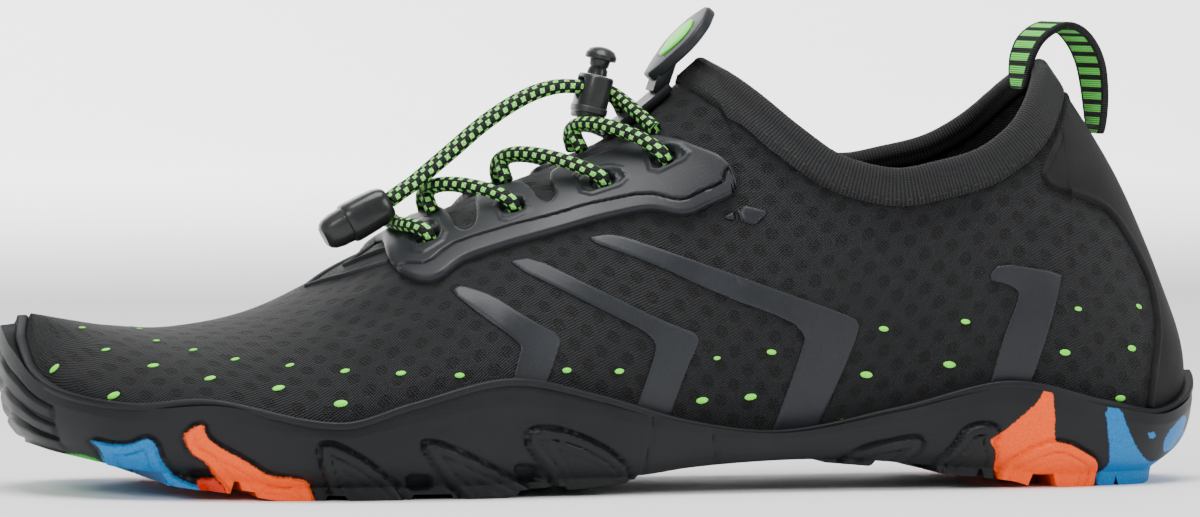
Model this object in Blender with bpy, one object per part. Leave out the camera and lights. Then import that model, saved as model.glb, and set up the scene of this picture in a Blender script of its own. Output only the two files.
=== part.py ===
"""A left water shoe: a cup sole with leaf lugs, a hollow knit upper, overlays and a cord with a lock.

The sole's outline, the ridge over the foot and the collar are short tables of shares of a few named
sizes. Every piece that lies on the upper is worked out from the upper's own surface. Metres, +Z up,
toe towards -X, outer side of the foot towards -Y, origin under the middle of the sole on the ground.
"""

import bisect
import math

import bmesh
import bpy
from mathutils import Matrix, Vector
from mathutils.bvhtree import BVHTree

# Driving sizes of the shoe
LENGTH = 0.276
BALL_WIDTH = 0.101
INSTEP_HEIGHT = 0.0966
SIDE_HEIGHT = 0.0273
ARCH_LIFT = 0.007
LUG_DEPTH = 0.003
LUG_PROUD = 0.0012
RIB_PROUD = 0.0010

# Walls, seats and clearances
GAP = 0.0003
UPPER_WALL = 0.0020
RIM_WALL = 0.0022
LIP_HEIGHT = 0.0018
LIP_PROUD = 0.0005
FEATHER_INSET = 0.0060
WIDEST_PART = 0.30
SWELL_RISE = 0.42
BOTTOM_INSET = 0.0060
INSOLE_THICKNESS = 0.0040
INSOLE_MARGIN = 0.0008
ROOT = 0.0010
SIDE_ROOT = 0.0005

# Overlays, binding and loop
FILM_THICKNESS = 0.0004
PANEL_THICKNESS = 0.0006
STAY_THICKNESS = 0.0018
OVERLAY_LIFT = 0.0006
EYELET_DEEP = 0.003
EYELET_RADIUS = 0.0026
EYELET_SIDES = 8
RIDGE_CLEARANCE = 0.0015
BINDING_WIDTH = 0.0075
BINDING_THICKNESS = 0.0013
BINDING_ROOT = 0.0004
BINDING_CLEAR = 0.0005
LOOP_WIDTH = 0.0100
LOOP_THICKNESS = 0.0016
TAB_LENGTH = 0.0213
TAB_WIDTH = 0.0210
TAB_THICKNESS = 0.0024
NECK_WIDTH = 0.0090
POST_HALF = 0.36
NECK_THICKNESS = 0.0014

# Cord, its lock and its end cap
CORD_DIAMETER = 0.0032
CORD_PITCH = 0.0035
LOCK_LENGTH = 0.0102
LOCK_WIDTH = 0.0120
LOCK_DEPTH = 0.0077
STEM_LENGTH = 0.0035
BUTTON_HEIGHT = 0.0030
CAP_LENGTH = 0.0169
CAP_WIDTH = 0.0100
CAP_DEPTH = 0.0088

# Ends of the foot opening, as turns from the heel (0) to the toe (1)
COLLAR_BACK = 0.232
COLLAR_FRONT = 0.447
HEEL_TURNS = (0.0, 0.035, 0.075, 0.12, 0.165, 0.205)
COLLAR_STEPS = 10
FRONT_STEPS = 14
ROWS_IN_SOLE = 2
ROWS_ABOVE = 7


def table(names, *rows):
    """Rows of numbers as one list for each named column."""
    return dict(zip(names.split(), zip(*rows)))


# Sole outline: centre and half width in ball widths
OUTLINE = table(
    "along centre half",
    (0.00, 0.000, 0.000),
    (0.05, 0.000, 0.252),
    (0.12, 0.000, 0.332),
    (0.20, -0.005, 0.351),
    (0.30, -0.015, 0.342),
    (0.40, -0.035, 0.342),
    (0.50, -0.050, 0.366),
    (0.60, -0.040, 0.436),
    (0.68, -0.020, 0.485),
    (0.76, -0.005, 0.500),
    (0.84, 0.020, 0.475),
    (0.90, 0.045, 0.421),
    (0.95, 0.070, 0.337),
    (1.00, 0.100, 0.000),
)

# Top edge of the rubber side: heights in side heights
RIM = table(
    "along outer inner",
    (0.000, 0.916, 0.916),
    (0.040, 0.640, 0.640),
    (0.100, 0.733, 0.733),
    (0.186, 0.908, 0.908),
    (0.280, 0.696, 0.760),
    (0.375, 0.520, 0.690),
    (0.452, 0.608, 0.740),
    (0.540, 0.853, 0.880),
    (0.618, 1.000, 1.000),
    (0.700, 0.813, 0.850),
    (0.757, 0.659, 0.720),
    (0.851, 0.839, 0.840),
    (0.913, 0.802, 0.802),
    (0.965, 0.890, 0.890),
    (0.985, 1.030, 1.030),
    (0.995, 1.230, 1.230),
    (1.000, 1.400, 1.400),
)

# Floor inside the sole: heights in side heights
FLOOR = table(
    "along height",
    (0.00, 0.476),
    (0.10, 0.440),
    (0.30, 0.447),
    (0.42, 0.432),
    (0.50, 0.403),
    (0.62, 0.315),
    (0.75, 0.293),
    (0.85, 0.366),
    (0.93, 0.495),
    (1.00, 0.660),
)

# Underside at the lugs: heights in arch lifts, and how much of the lug depth the tread has there
GROUND = table(
    "along height tread",
    (0.020, 1.000, 0.3),
    (0.041, 0.370, 0.7),
    (0.058, 0.000, 1.0),
    (0.156, 0.000, 1.0),
    (0.178, 0.220, 0.9),
    (0.228, 0.457, 0.6),
    (0.315, 0.830, 0.4),
    (0.384, 1.000, 0.0),
    (0.453, 0.830, 0.0),
    (0.500, 0.430, 0.4),
    (0.573, 0.180, 0.9),
    (0.645, 0.000, 1.0),
    (0.797, 0.000, 1.0),
    (0.826, 0.150, 1.0),
    (0.888, 0.470, 0.9),
    (0.920, 0.700, 0.7),
    (0.949, 1.070, 0.4),
    (0.975, 1.500, 0.0),
    (0.985, 1.800, 0.0),
)

# Side of the sole from its bottom edge up: how far up, and the inset in bottom insets
SIDE = table(
    "up inset",
    (0.00, 1.00),
    (0.18, 0.43),
    (0.42, 0.15),
    (0.74, 0.00),
)

# Line over the middle of the upper, with the heel's back line first and a line across the opening:
# where it lies along the length, its height in instep heights, then in ball widths how wide the
# shoulder is that it carries on each side, and how far it leans to the inner side
RIDGE = table(
    "along reach height shoulder lean",
    (0.0000, 0.0130, 0.321, 0.000, 0.000),
    (0.0062, 0.0196, 0.388, 0.060, 0.000),
    (0.0245, 0.0326, 0.481, 0.100, 0.000),
    (0.0476, 0.0471, 0.588, 0.120, 0.000),
    (0.0778, 0.0690, 0.728, 0.130, 0.000),
    (0.1051, 0.0960, 0.858, 0.130, 0.000),
    (0.1268, 0.1279, 0.991, 0.130, 0.000),
    (0.1694, 0.1694, 1.159, 0.150, 0.000),
    (0.2591, 0.2591, 1.232, 0.165, 0.000),
    (0.3455, 0.3455, 1.159, 0.170, 0.000),
    (0.4172, 0.4172, 1.000, 0.190, 0.000),
    (0.4686, 0.4686, 0.877, 0.210, 0.000),
    (0.5314, 0.5314, 0.771, 0.240, 0.000),
    (0.5937, 0.5937, 0.703, 0.257, 0.005),
    (0.6545, 0.6545, 0.628, 0.267, 0.010),
    (0.7270, 0.7270, 0.512, 0.267, 0.020),
    (0.7939, 0.7939, 0.422, 0.262, 0.030),
    (0.8645, 0.8605, 0.384, 0.250, 0.045),
    (0.9222, 0.9112, 0.388, 0.218, 0.060),
    (0.9649, 0.9438, 0.401, 0.158, 0.075),
    (0.9911, 0.9656, 0.412, 0.090, 0.090),
    (1.0000, 0.9746, 0.416, 0.000, 0.100),
)

# Collar edge on the outer side: heights in instep heights
COLLAR = table(
    "along height",
    (0.1268, 0.991),
    (0.1650, 0.866),
    (0.1870, 0.815),
    (0.2080, 0.784),
    (0.2390, 0.761),
    (0.2730, 0.744),
    (0.3025, 0.756),
    (0.3300, 0.786),
    (0.3620, 0.854),
    (0.3910, 0.932),
    (0.4172, 1.000),
)
INNER_COLLAR_RISE = 0.0015

# Leaf lugs from toe to heel: top and foot along the length, top height in side heights, half width
LUGS = table(
    "top foot height half",
    (0.928, 0.864, 0.52, 0.0062),
    (0.871, 0.793, 0.66, 0.0070),
    (0.764, 0.721, 0.46, 0.0068),
    (0.680, 0.633, 0.50, 0.0070),
    (0.580, 0.536, 0.56, 0.0068),
    (0.272, 0.318, 0.44, 0.0050),
    (0.206, 0.226, 0.54, 0.0042),
    (0.154, 0.184, 0.80, 0.0050),
    (0.126, 0.114, 0.42, 0.0070),
    (0.092, 0.067, 0.62, 0.0042),
)
LEAF = table("down width", (0.0, 0.35), (0.22, 0.68), (0.45, 0.92), (0.7, 1.00), (1.0, 0.90))
LUG_BRIDGE = 0.80

# Ribs round the toe: lower and upper edge, as shares of the side's height
TOE_RIBS = table("low high", (0.10, 0.22), (0.30, 0.44), (0.52, 0.68))
TOE_RIB_TURN = 0.895
TOE_RIB_STEPS = 11


# Overlays in side view: places along the length, and heights in instep heights
FRONT_CHEVRON = (
    (0.655, 0.478), (0.646, 0.494), (0.622, 0.470), (0.595, 0.417), (0.568, 0.375), (0.573, 0.336),
    (0.594, 0.200), (0.619, 0.200), (0.607, 0.324), (0.603, 0.353), (0.609, 0.372), (0.634, 0.426),
)
MIDDLE_CHEVRON = (
    (0.607, 0.543), (0.584, 0.555), (0.533, 0.480), (0.479, 0.406), (0.452, 0.377), (0.449, 0.360),
    (0.461, 0.291), (0.482, 0.120), (0.515, 0.120), (0.488, 0.326), (0.487, 0.359), (0.499, 0.388),
    (0.533, 0.436),
)
BACK_CHEVRON = (
    (0.541, 0.597), (0.514, 0.608), (0.475, 0.570), (0.379, 0.473), (0.327, 0.420), (0.311, 0.399),
    (0.316, 0.346), (0.354, 0.090), (0.390, 0.090), (0.361, 0.336), (0.358, 0.366), (0.370, 0.402),
    (0.433, 0.469), (0.487, 0.541),
)
HEEL_BAR = (
    (0.203, 0.495), (0.193, 0.533), (0.138, 0.508), (0.140, 0.480), (0.149, 0.389), (0.171, 0.200),
    (0.204, 0.200), (0.191, 0.349), (0.178, 0.438), (0.176, 0.464), (0.183, 0.480),
)
ANKLE_FILM = ((0.424, 0.644), (0.405, 0.671), (0.386, 0.657), (0.398, 0.628))
EYESTAY = (
    (0.690, 0.561), (0.692, 0.531), (0.687, 0.508), (0.679, 0.494), (0.667, 0.494), (0.656, 0.508),
    (0.646, 0.528), (0.637, 0.543), (0.623, 0.557), (0.592, 0.583), (0.557, 0.608), (0.526, 0.633),
    (0.491, 0.655), (0.479, 0.657), (0.467, 0.649), (0.458, 0.645), (0.448, 0.650), (0.436, 0.667),
    (0.421, 0.685), (0.412, 0.699), (0.409, 0.727), (0.413, 0.759), (0.421, 0.786), (0.436, 0.803),
    (0.448, 0.818), (0.464, 0.826), (0.472, 0.824), (0.492, 0.799), (0.519, 0.770), (0.539, 0.751),
    (0.551, 0.735), (0.554, 0.717), (0.554, 0.685), (0.561, 0.668), (0.567, 0.674), (0.570, 0.700),
    (0.574, 0.714), (0.590, 0.704), (0.609, 0.684), (0.613, 0.672), (0.619, 0.632), (0.624, 0.612),
    (0.631, 0.603), (0.635, 0.609), (0.635, 0.632), (0.637, 0.655), (0.645, 0.660), (0.660, 0.650),
    (0.678, 0.615),
)
EYELETS = table("along height", (0.658, 0.589), (0.589, 0.659), (0.515, 0.719), (0.464, 0.775))
HEEL_SEAM = (
    (0.154, 0.745), (0.146, 0.703), (0.120, 0.682), (0.094, 0.655), (0.080, 0.618), (0.064, 0.547),
    (0.053, 0.481), (0.050, 0.442), (0.048, 0.374), (0.050, 0.337), (0.055, 0.262), (0.058, 0.150),
    (-0.050, 0.150), (-0.050, 0.920), (0.102, 0.930), (0.128, 0.840),
)

# Heel loop in the middle plane, from inside the collar over to the back of the heel
LOOP_PATH = (
    (0.1464, 0.932), (0.1460, 0.959), (0.1449, 0.986), (0.1428, 1.013), (0.1366, 1.048),
    (0.1261, 1.073), (0.1141, 1.084), (0.1022, 1.070), (0.0920, 1.036), (0.0851, 0.990),
    (0.0819, 0.935), (0.0808, 0.885), (0.0808, 0.825),
)
LOOP_SECTIONS = 16

# Instep tab in the middle plane: foot and tip of its plate, and half widths along it
TAB_FOOT = (0.462, 0.963)
TAB_TIP = (0.4094, 1.1243)
TAB_OUTLINE = table("up half", (0.0, 0.12), (0.2, 0.32), (0.5, 0.50), (0.78, 0.40), (0.95, 0.16), (1.0, 0.06))
NECK = (0.494, 0.4435)
POST = (0.458, 0.4450)

# Cord: places along, sideways in ball widths, and heights in instep heights
LOCK_FOOT = (0.5145, 0.867)
LOCK_HEAD = (0.5065, 0.964)
SLOT_RISE = 0.70
CAP_BACK = (0.6870, -0.070, 0.679)
CAP_FRONT = (0.7410, -0.070, 0.596)
FREE_CORD = (
    (0.468, -0.140, 0.848), (0.477, -0.090, 0.880), (0.487, -0.036, 0.912), (0.497, -0.0176, 0.932),
    (0.508, -0.0173, 0.938), (0.522, -0.0173, 0.944), (0.538, -0.020, 0.945), (0.556, -0.026, 0.934),
    (0.574, -0.034, 0.912), (0.592, -0.042, 0.882), (0.610, -0.050, 0.846), (0.628, -0.058, 0.804),
    (0.646, -0.065, 0.763), (0.664, -0.071, 0.722), (0.676, -0.077, 0.700), (0.6857, -0.083, 0.6810),
)
CROSSINGS = table(
    "hole along sideways end_along end_sideways",
    (1, 0.589, -0.172, 0.645, 0.050),
    (2, 0.515, -0.187, 0.584, 0.050),
    (3, 0.464, -0.198, 0.520, 0.050),
)
BAR = (0.658, -0.156, 0.672)
FREE_POINTS = 14
LACE_OVER_STAY = 0.0043
LACE_ARCH = 0.0053
LACE_SIDES = 6


def turn(along):
    """Place along the length, 0 at the heel and 1 at the toe, as a turn that opens out both ends."""
    return math.acos(1 - 2 * min(max(along, 0.0), 1.0)) / math.pi


def along(turned):
    return (1 - math.cos(math.pi * turned)) / 2


def along_of(x):
    return 0.5 - x / LENGTH


def smooth(rows, name, place):
    """A column's value on a smooth curve through its rows, whose first column is the place."""
    columns = list(rows.values())
    opened = "along" in rows
    places = [turn(value) if opened else value for value in columns[0]]
    values = rows[name]
    place = turn(place) if opened else place
    place = min(max(place, places[0]), places[-1])
    low = min(max(bisect.bisect_right(places, place) - 1, 0), len(places) - 2)
    span = places[low + 1] - places[low]

    def slope(row):
        first = max(row - 1, 0)
        last = min(row + 1, len(places) - 1)
        return (values[last] - values[first]) / (places[last] - places[first])

    part = (place - places[low]) / span
    start = (1 + 2 * part) * (1 - part) ** 2 * values[low] + part * (1 - part) ** 2 * span * slope(low)
    end = part**2 * (3 - 2 * part) * values[low + 1] + part**2 * (part - 1) * span * slope(low + 1)
    return start + end


def floor_height(x):
    return SIDE_HEIGHT * smooth(FLOOR, "height", along_of(x))


def lug_height(x):
    """Height of the tread's lowest face, which is flat on the ground under ball and heel."""
    return max(0.0, ARCH_LIFT * smooth(GROUND, "height", along_of(x)))


def base_height(x):
    return lug_height(x) + LUG_DEPTH * smooth(GROUND, "tread", along_of(x))


def on_outline(turned, side):
    place = along(turned)
    centre = smooth(OUTLINE, "centre", place)
    half = max(0.0, smooth(OUTLINE, "half", place))
    return Vector((LENGTH * (0.5 - place), BALL_WIDTH * (centre + side * half), 0.0))


def outward(turned, side):
    """Level direction that points out of the sole's outline."""
    step = 0.004
    before = on_outline(turned - step, side) if turned > step else on_outline(step - turned, -side)
    after = turned + step
    ahead = on_outline(after, side) if after < 1 else on_outline(2 - after, -side)
    run = ahead - before
    return Vector((-run.y, run.x, 0.0)).normalized() * (-side)


def inset_outline(turned, side, inset):
    return on_outline(turned, side) - outward(turned, side) * inset


def rim_height(turned, side):
    return SIDE_HEIGHT * smooth(RIM, "outer" if side < 0 else "inner", along(turned))


def cubic_shares(part):
    rest = 1 - part
    return rest**3, 3 * rest**2 * part, 3 * rest * part**2, part**3


def arch_points(turned, side):
    """Four control points of the upper's half section, from the feather edge to the ridge."""
    place = along(turned)
    out = outward(turned, side)
    foot = inset_outline(turned, side, FEATHER_INSET)
    foot.z = floor_height(foot.x) + GAP
    ridge = Vector(
        (
            LENGTH * (0.5 - smooth(RIDGE, "reach", place)),
            BALL_WIDTH * smooth(RIDGE, "lean", place),
            INSTEP_HEIGHT * smooth(RIDGE, "height", place),
        )
    )
    shoulder = ridge + Vector((0, side * BALL_WIDTH * max(0.0, smooth(RIDGE, "shoulder", place)), 0))
    # The section swells until its widest part stands against the inside of the rubber wall
    wall = on_outline(turned, side).dot(out) - RIM_WALL - 2 * GAP
    level = [foot.dot(out), 0.0, shoulder.dot(out), ridge.dot(out)]
    shares = cubic_shares(WIDEST_PART)
    swelling = (wall - sum(one * share for one, share in zip(level, shares))) / shares[1]
    swell = foot + out * (swelling - foot.dot(out)) + Vector((0, 0, SWELL_RISE * (ridge.z - foot.z)))
    return foot, swell, shoulder, ridge


def on_arch(points, part):
    """Point of a cubic curve with four control points."""
    return sum((point * share for point, share in zip(points, cubic_shares(part))), Vector((0, 0, 0)))


def part_at_height(points, height):
    low = 0.0
    high = 1.0
    for _ in range(40):
        middle = (low + high) / 2
        if on_arch(points, middle).z < height:
            low = middle
        else:
            high = middle
    return low


def collar_height(turned, side):
    share = (turned - COLLAR_BACK) / (COLLAR_FRONT - COLLAR_BACK)
    rise = INNER_COLLAR_RISE * math.sin(math.pi * share) if side > 0 else 0.0
    return INSTEP_HEIGHT * smooth(COLLAR, "height", along(turned)) + rise


def stations():
    """Turns at which the shoe's sections lie, closest where the collar is tightest."""
    width = COLLAR_FRONT - COLLAR_BACK
    opening = [
        COLLAR_BACK + width * (1 - math.cos(math.pi * step / COLLAR_STEPS)) / 2
        for step in range(COLLAR_STEPS + 1)
    ]
    front = [COLLAR_FRONT + (1 - COLLAR_FRONT) * step / FRONT_STEPS for step in range(1, FRONT_STEPS + 1)]
    return list(HEEL_TURNS) + opening + front


def section(turned, side):
    """Points of the upper's outer face from the feather edge to the ridge or the collar."""
    points = arch_points(turned, side)
    rim = part_at_height(points, rim_height(turned, side))
    top = 1.0
    if COLLAR_BACK < turned < COLLAR_FRONT:
        top = part_at_height(points, collar_height(turned, side))
    low = [rim * row / ROWS_IN_SOLE for row in range(ROWS_IN_SOLE)]
    high = [rim + (top - rim) * row / ROWS_ABOVE for row in range(ROWS_ABOVE + 1)]
    return [on_arch(points, part) for part in low + high]


def ring(turns):
    """Turn and side of each station all the way round, outer side first, then the inner side back."""
    outer = [(turned, -1) for turned in turns]
    inner = [(turned, 1) for turned in reversed(turns[1:-1])]
    return outer + inner


def weld(points, faces):
    """Shared points joined, and faces that lost a side left out."""
    index = {}
    number = []
    kept = []
    for point in points:
        key = tuple(round(value, 7) for value in point)
        if key not in index:
            index[key] = len(kept)
            kept.append(Vector(point))
        number.append(index[key])
    joined = []
    for face in faces:
        corners = []
        for corner in face:
            if number[corner] not in corners:
                corners.append(number[corner])
        if len(corners) > 2:
            joined.append(corners)
    return kept, joined


def ring_faces(columns, downward=None):
    """Points and triangles of a skin round the shoe, one column of points for each station.

    From the row called downward on, the column runs down the upper, and each four-sided patch is cut
    along the diagonal that the upper's own patch there is cut along, so that both lie parallel.
    """
    rows = len(columns[0])
    points = [point for column in columns for point in column]
    faces = []
    for first in range(len(columns)):
        second = (first + 1) % len(columns)
        for row in range(rows - 1):
            near = first * rows + row
            far = second * rows + row
            if downward is not None and row >= downward:
                faces.append((near, near + 1, far))
                faces.append((near + 1, far + 1, far))
            else:
                faces.append((near, near + 1, far + 1))
                faces.append((near, far + 1, far))
    return points, faces


def cap_faces(count, rows, row):
    """Strips across one row of a ring of columns, which close its floor or its top."""
    half = count // 2
    faces = []
    for step in range(half):
        corners = (step, step + 1, (count - step - 1) % count, (count - step) % count)
        unique = list(dict.fromkeys(corners))
        faces.append([corner * rows + row for corner in unique])
    return faces


def point_normals(points, faces):
    """Outward direction at each point of a sheet, from the faces round it."""
    sums = [Vector((0, 0, 0)) for _ in points]
    for face in faces:
        area = Vector((0, 0, 0))
        for first, second in zip(face, face[1:] + face[:1]):
            area += points[first].cross(points[second])
        for corner in face:
            sums[corner] += area
    return [total.normalized() for total in sums]


def shell(points, faces, low, high):
    """Closed solid between two distances from a sheet, along its normals."""
    normals = point_normals(points, faces)
    count = len(points)
    inner = [point + normal * low for point, normal in zip(points, normals)]
    outer = [point + normal * high for point, normal in zip(points, normals)]
    sides = {}
    for face in faces:
        for first, second in zip(face, face[1:] + face[:1]):
            sides[(first, second)] = True
    solid = [[corner + count for corner in face] for face in faces]
    solid += [list(reversed(face)) for face in faces]
    for first, second in sides:
        if (second, first) not in sides:
            solid.append([second + count, first + count, first, second])
    return inner + outer, solid


def finish(name, colour, roughness, metallic=0.0):
    material = bpy.data.materials.new(name)
    material.use_nodes = True
    shader = material.node_tree.nodes["Principled BSDF"]
    shader.inputs["Base Color"].default_value = (*colour, 1.0)
    shader.inputs["Roughness"].default_value = roughness
    shader.inputs["Metallic"].default_value = metallic
    material.diffuse_color = (*colour, 1.0)
    return material


def make(name, points, faces, material, hidden=False):
    """Object from points and faces, with its normals out and its smooth parts shaded smooth."""
    mesh = bpy.data.meshes.new(name)
    body = bmesh.new()
    for point in points:
        body.verts.new(point)
    body.verts.ensure_lookup_table()
    for face in faces:
        body.faces.new([body.verts[corner] for corner in face])
    bmesh.ops.remove_doubles(body, verts=body.verts, dist=1e-7)
    bmesh.ops.recalc_face_normals(body, faces=body.faces)
    body.to_mesh(mesh)
    body.free()
    if material:
        mesh.materials.append(material)
    mesh.shade_smooth()
    mesh.set_sharp_from_angle(angle=math.radians(40))
    thing = bpy.data.objects.new(name, mesh)
    bpy.context.scene.collection.objects.link(thing)
    if hidden:
        thing.hide_render = True
        thing.hide_set(True)
        thing.display_type = "WIRE"
    return thing


def combine(thing, other, operation):
    modifier = thing.modifiers.new(operation.title() + " " + other.name, "BOOLEAN")
    modifier.operation = operation
    modifier.solver = "EXACT"
    modifier.object = other
    return modifier


def upper_sheet():
    """The upper's outer face as one welded sheet, faces out."""
    columns = [section(turned, side) for turned, side in ring(stations())]
    points, faces = ring_faces(columns)
    return weld(points, faces)


def build_upper(material):
    points, faces = upper_sheet()
    return make("upper", *shell(points, faces, -UPPER_WALL, 0.0), material)


def side_rows(turned, side, rim_point):
    """Outside of the sole from its bottom edge to its rim."""
    rows = []
    out = outward(turned, side)
    edge = inset_outline(turned, side, BOTTOM_INSET)
    base = base_height(edge.x)
    for up, inset in zip(SIDE["up"], SIDE["inset"]):
        point = inset_outline(turned, side, inset * BOTTOM_INSET)
        point.z = base + up * (rim_point.z - base)
        rows.append(point)
    wall = rim_point + out * (GAP + RIM_WALL)
    drop = Vector((0, 0, min(LIP_HEIGHT, 0.16 * (rim_point.z - base))))
    rows.append(wall - drop)
    rows.append(wall - drop + out * LIP_PROUD)
    rows.append(wall + out * LIP_PROUD)
    return rows


def sole_column(turned, side, outer, normals):
    """One section of the cup sole: up its outside, over its rim and down to its floor."""
    rim_point = outer[ROWS_IN_SOLE]
    rows = side_rows(turned, side, rim_point)
    for row in range(ROWS_IN_SOLE, 0, -1):
        point = outer[row] + normals[row] * GAP
        if row == ROWS_IN_SOLE:
            point.z = rim_point.z
        rows.append(point)
    corner = outer[0] + outward(turned, side) * GAP
    corner.z = floor_height(corner.x)
    rows.append(corner)
    return rows


def sole_body(material):
    turns = ring(stations())
    columns = [section(turned, side) for turned, side in turns]
    points, faces = ring_faces(columns)
    welded, joined = weld(points, faces)
    normals = dict()
    for point, normal in zip(welded, point_normals(welded, joined)):
        normals[tuple(round(value, 7) for value in point)] = normal
    rings = []
    for (turned, side), outer in zip(turns, columns):
        own = [normals[tuple(round(value, 7) for value in point)] for point in outer]
        rings.append(sole_column(turned, side, outer, own))
    rows = len(rings[0])
    points, faces = ring_faces(rings, rows - ROWS_IN_SOLE - 1)
    faces += cap_faces(len(rings), rows, 0)
    faces += cap_faces(len(rings), rows, rows - 1)
    return make("outsole", points, faces, material)


def on_side(x, side, up):
    """Point on the sole's outside at a place along it and a share of its height, and which way is out."""
    turned = turn(along_of(x))
    out = outward(turned, side)
    edge = inset_outline(turned, side, BOTTOM_INSET)
    base = base_height(edge.x)
    inset = BOTTOM_INSET * smooth(SIDE, "inset", up)
    point = inset_outline(turned, side, inset)
    point.z = base + up * (rim_height(turned, side) - base)
    return point, out


def lug_section(side, up, middle, half):
    """Four corners of a lug where it crosses the side of the sole."""
    corners = []
    for x in (middle - half, middle + half):
        point, out = on_side(x, side, up)
        if up > 0:
            pair = (point - out * SIDE_ROOT, point + out * LUG_PROUD)
        else:
            low = point + out * (0.4 * BOTTOM_INSET)
            low.z = lug_height(low.x)
            pair = (point - out * ROOT + Vector((0, 0, ROOT)), low)
        corners.append(pair)
    return [corners[0][0], corners[0][1], corners[1][1], corners[1][0]]


def lug_bridge(y, middle, half):
    corners = []
    for x in (middle - half, middle + half):
        top = Vector((x, y, base_height(x) + ROOT))
        low = Vector((x, y, lug_height(x)))
        corners.append((top, low))
    return [corners[0][0], corners[0][1], corners[1][1], corners[1][0]]


def build_lug(number):
    """One leaf lug, from its tip on the outer side, under the sole and up to its tip on the inner side."""
    top = LENGTH * (0.5 - LUGS["top"][number])
    foot = LENGTH * (0.5 - LUGS["foot"][number])
    half = LUGS["half"][number]
    sides = {}
    for side in (-1, 1):
        turned = turn(along_of(top))
        base = base_height(top)
        reach = (SIDE_HEIGHT * LUGS["height"][number] - base) / (rim_height(turned, side) - base)
        reach = min(reach, 0.86)
        sections = []
        for down, width in zip(LEAF["down"], LEAF["width"]):
            middle = top + (foot - top) * down
            sections.append(lug_section(side, reach * (1 - down), middle, half * width))
        sides[side] = sections
    bridge = [lug_bridge(y, foot, half * LUG_BRIDGE) for y in (-0.12 * BALL_WIDTH, 0.12 * BALL_WIDTH)]
    loft = sides[-1] + bridge + list(reversed(sides[1]))
    return loft_solid("lug_%d" % number, loft)


def loft_solid(name, loft, material=None, hidden=True):
    """Closed solid through a list of sections with the same number of corners."""
    size = len(loft[0])
    points = [point for one in loft for point in one]
    faces = [list(range(size)), [len(points) - 1 - corner for corner in range(size)]]
    for step in range(len(loft) - 1):
        for corner in range(size):
            after = (corner + 1) % size
            start = step * size
            faces.append((start + corner, start + after, start + size + after, start + size + corner))
    return make(name, points, faces, material, hidden)


def build_toe_rib(number):
    """One raised rib that runs round the toe at one height."""
    low = TOE_RIBS["low"][number]
    high = TOE_RIBS["high"][number]
    places = [TOE_RIB_TURN + (1 - TOE_RIB_TURN) * step / TOE_RIB_STEPS for step in range(TOE_RIB_STEPS + 1)]
    loft = []
    for turned, side in [(one, -1) for one in places] + [(one, 1) for one in reversed(places[:-1])]:
        x = LENGTH * (0.5 - along(turned))
        pair = [on_side(x, side, up) for up in (low, high)]
        out = pair[0][1]
        bottom = pair[0][0]
        top = pair[1][0]
        proud = out * RIB_PROUD
        root = out * SIDE_ROOT
        loft.append([bottom - root, bottom + proud, top + proud, top - root])
    return loft_solid("toe_rib_%d" % number, loft)


def build_outsole(material):
    sole = sole_body(material)
    for number in range(len(LUGS["top"])):
        combine(sole, build_lug(number), "UNION")
    for number in range(len(TOE_RIBS["low"])):
        combine(sole, build_toe_rib(number), "UNION")
    return sole


def build_insole(material):
    """Flat pad on the sole's floor, inside the upper's feather edge."""
    inset = FEATHER_INSET + UPPER_WALL + INSOLE_MARGIN
    columns = []
    for turned, side in ring(stations()):
        point = inset_outline(turned, side, inset)
        low = Vector((point.x, point.y, floor_height(point.x) + GAP))
        high = Vector((point.x, point.y, low.z + INSOLE_THICKNESS))
        columns.append([low, high])
    points, faces = ring_faces(columns)
    faces += cap_faces(len(columns), 2, 0)
    faces += cap_faces(len(columns), 2, 1)
    return make("insole", points, faces, material)


def place(along_share, sideways, height):
    """Point at shares of the length, the ball width and the instep height."""
    return Vector((LENGTH * (0.5 - along_share), BALL_WIDTH * sideways, INSTEP_HEIGHT * height))


def overlay_sheet():
    """The upper's outer face above the rubber rim, which overlays are cut from."""
    columns = []
    for turned, side in ring(stations()):
        column = section(turned, side)[ROWS_IN_SOLE:]
        points = arch_points(turned, side)
        lift = part_at_height(points, rim_height(turned, side) + OVERLAY_LIFT)
        column[0] = on_arch(points, lift)
        columns.append(column)
    points, faces = ring_faces(columns)
    return weld(points, faces)


def near_faces(points, faces, low, high):
    """Faces of a sheet that reach into a box, with only their own points."""
    kept = []
    for face in faces:
        spans = [[points[corner][axis] for corner in face] for axis in range(3)]
        if all(max(span) > low[axis] and min(span) < high[axis] for axis, span in enumerate(spans)):
            kept.append(face)
    used = sorted({corner for face in kept for corner in face})
    number = {corner: count for count, corner in enumerate(used)}
    return [points[corner] for corner in used], [[number[corner] for corner in face] for face in kept]


def side_prism(name, outline, near, far):
    """Hidden cutter: an outline in side view, run across the shoe between two distances."""
    loft = []
    for y in (near, far):
        loft.append([Vector((LENGTH * (0.5 - one), y, INSTEP_HEIGHT * height)) for one, height in outline])
    return loft_solid(name, loft)


def overlay(name, sheet, outline, near, far, thickness, material):
    """Piece of the upper's surface inside an outline, lifted by the gap and given a thickness."""
    low = Vector((LENGTH * (0.5 - max(one for one, _ in outline)), min(near, far), 0.0))
    high = Vector((LENGTH * (0.5 - min(one for one, _ in outline)), max(near, far), 1.0))
    points, faces = near_faces(*sheet, low, high)
    body = make(name, *shell(points, faces, GAP, GAP + thickness), material)
    combine(body, side_prism(name + "_outline", outline, near, far), "INTERSECT")
    return body


def surface_tree(sheet):
    points, faces = sheet
    return BVHTree.FromPolygons([tuple(point) for point in points], faces)


def seat_from_side(tree, x, z, side):
    """Point of the upper at a place in side view, and its outward direction."""
    spot, normal, _, _ = tree.ray_cast(Vector((x, side, z)), Vector((0, -side, 0)))
    return spot, normal * (1 if normal.y * side > 0 else -1)


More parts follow.
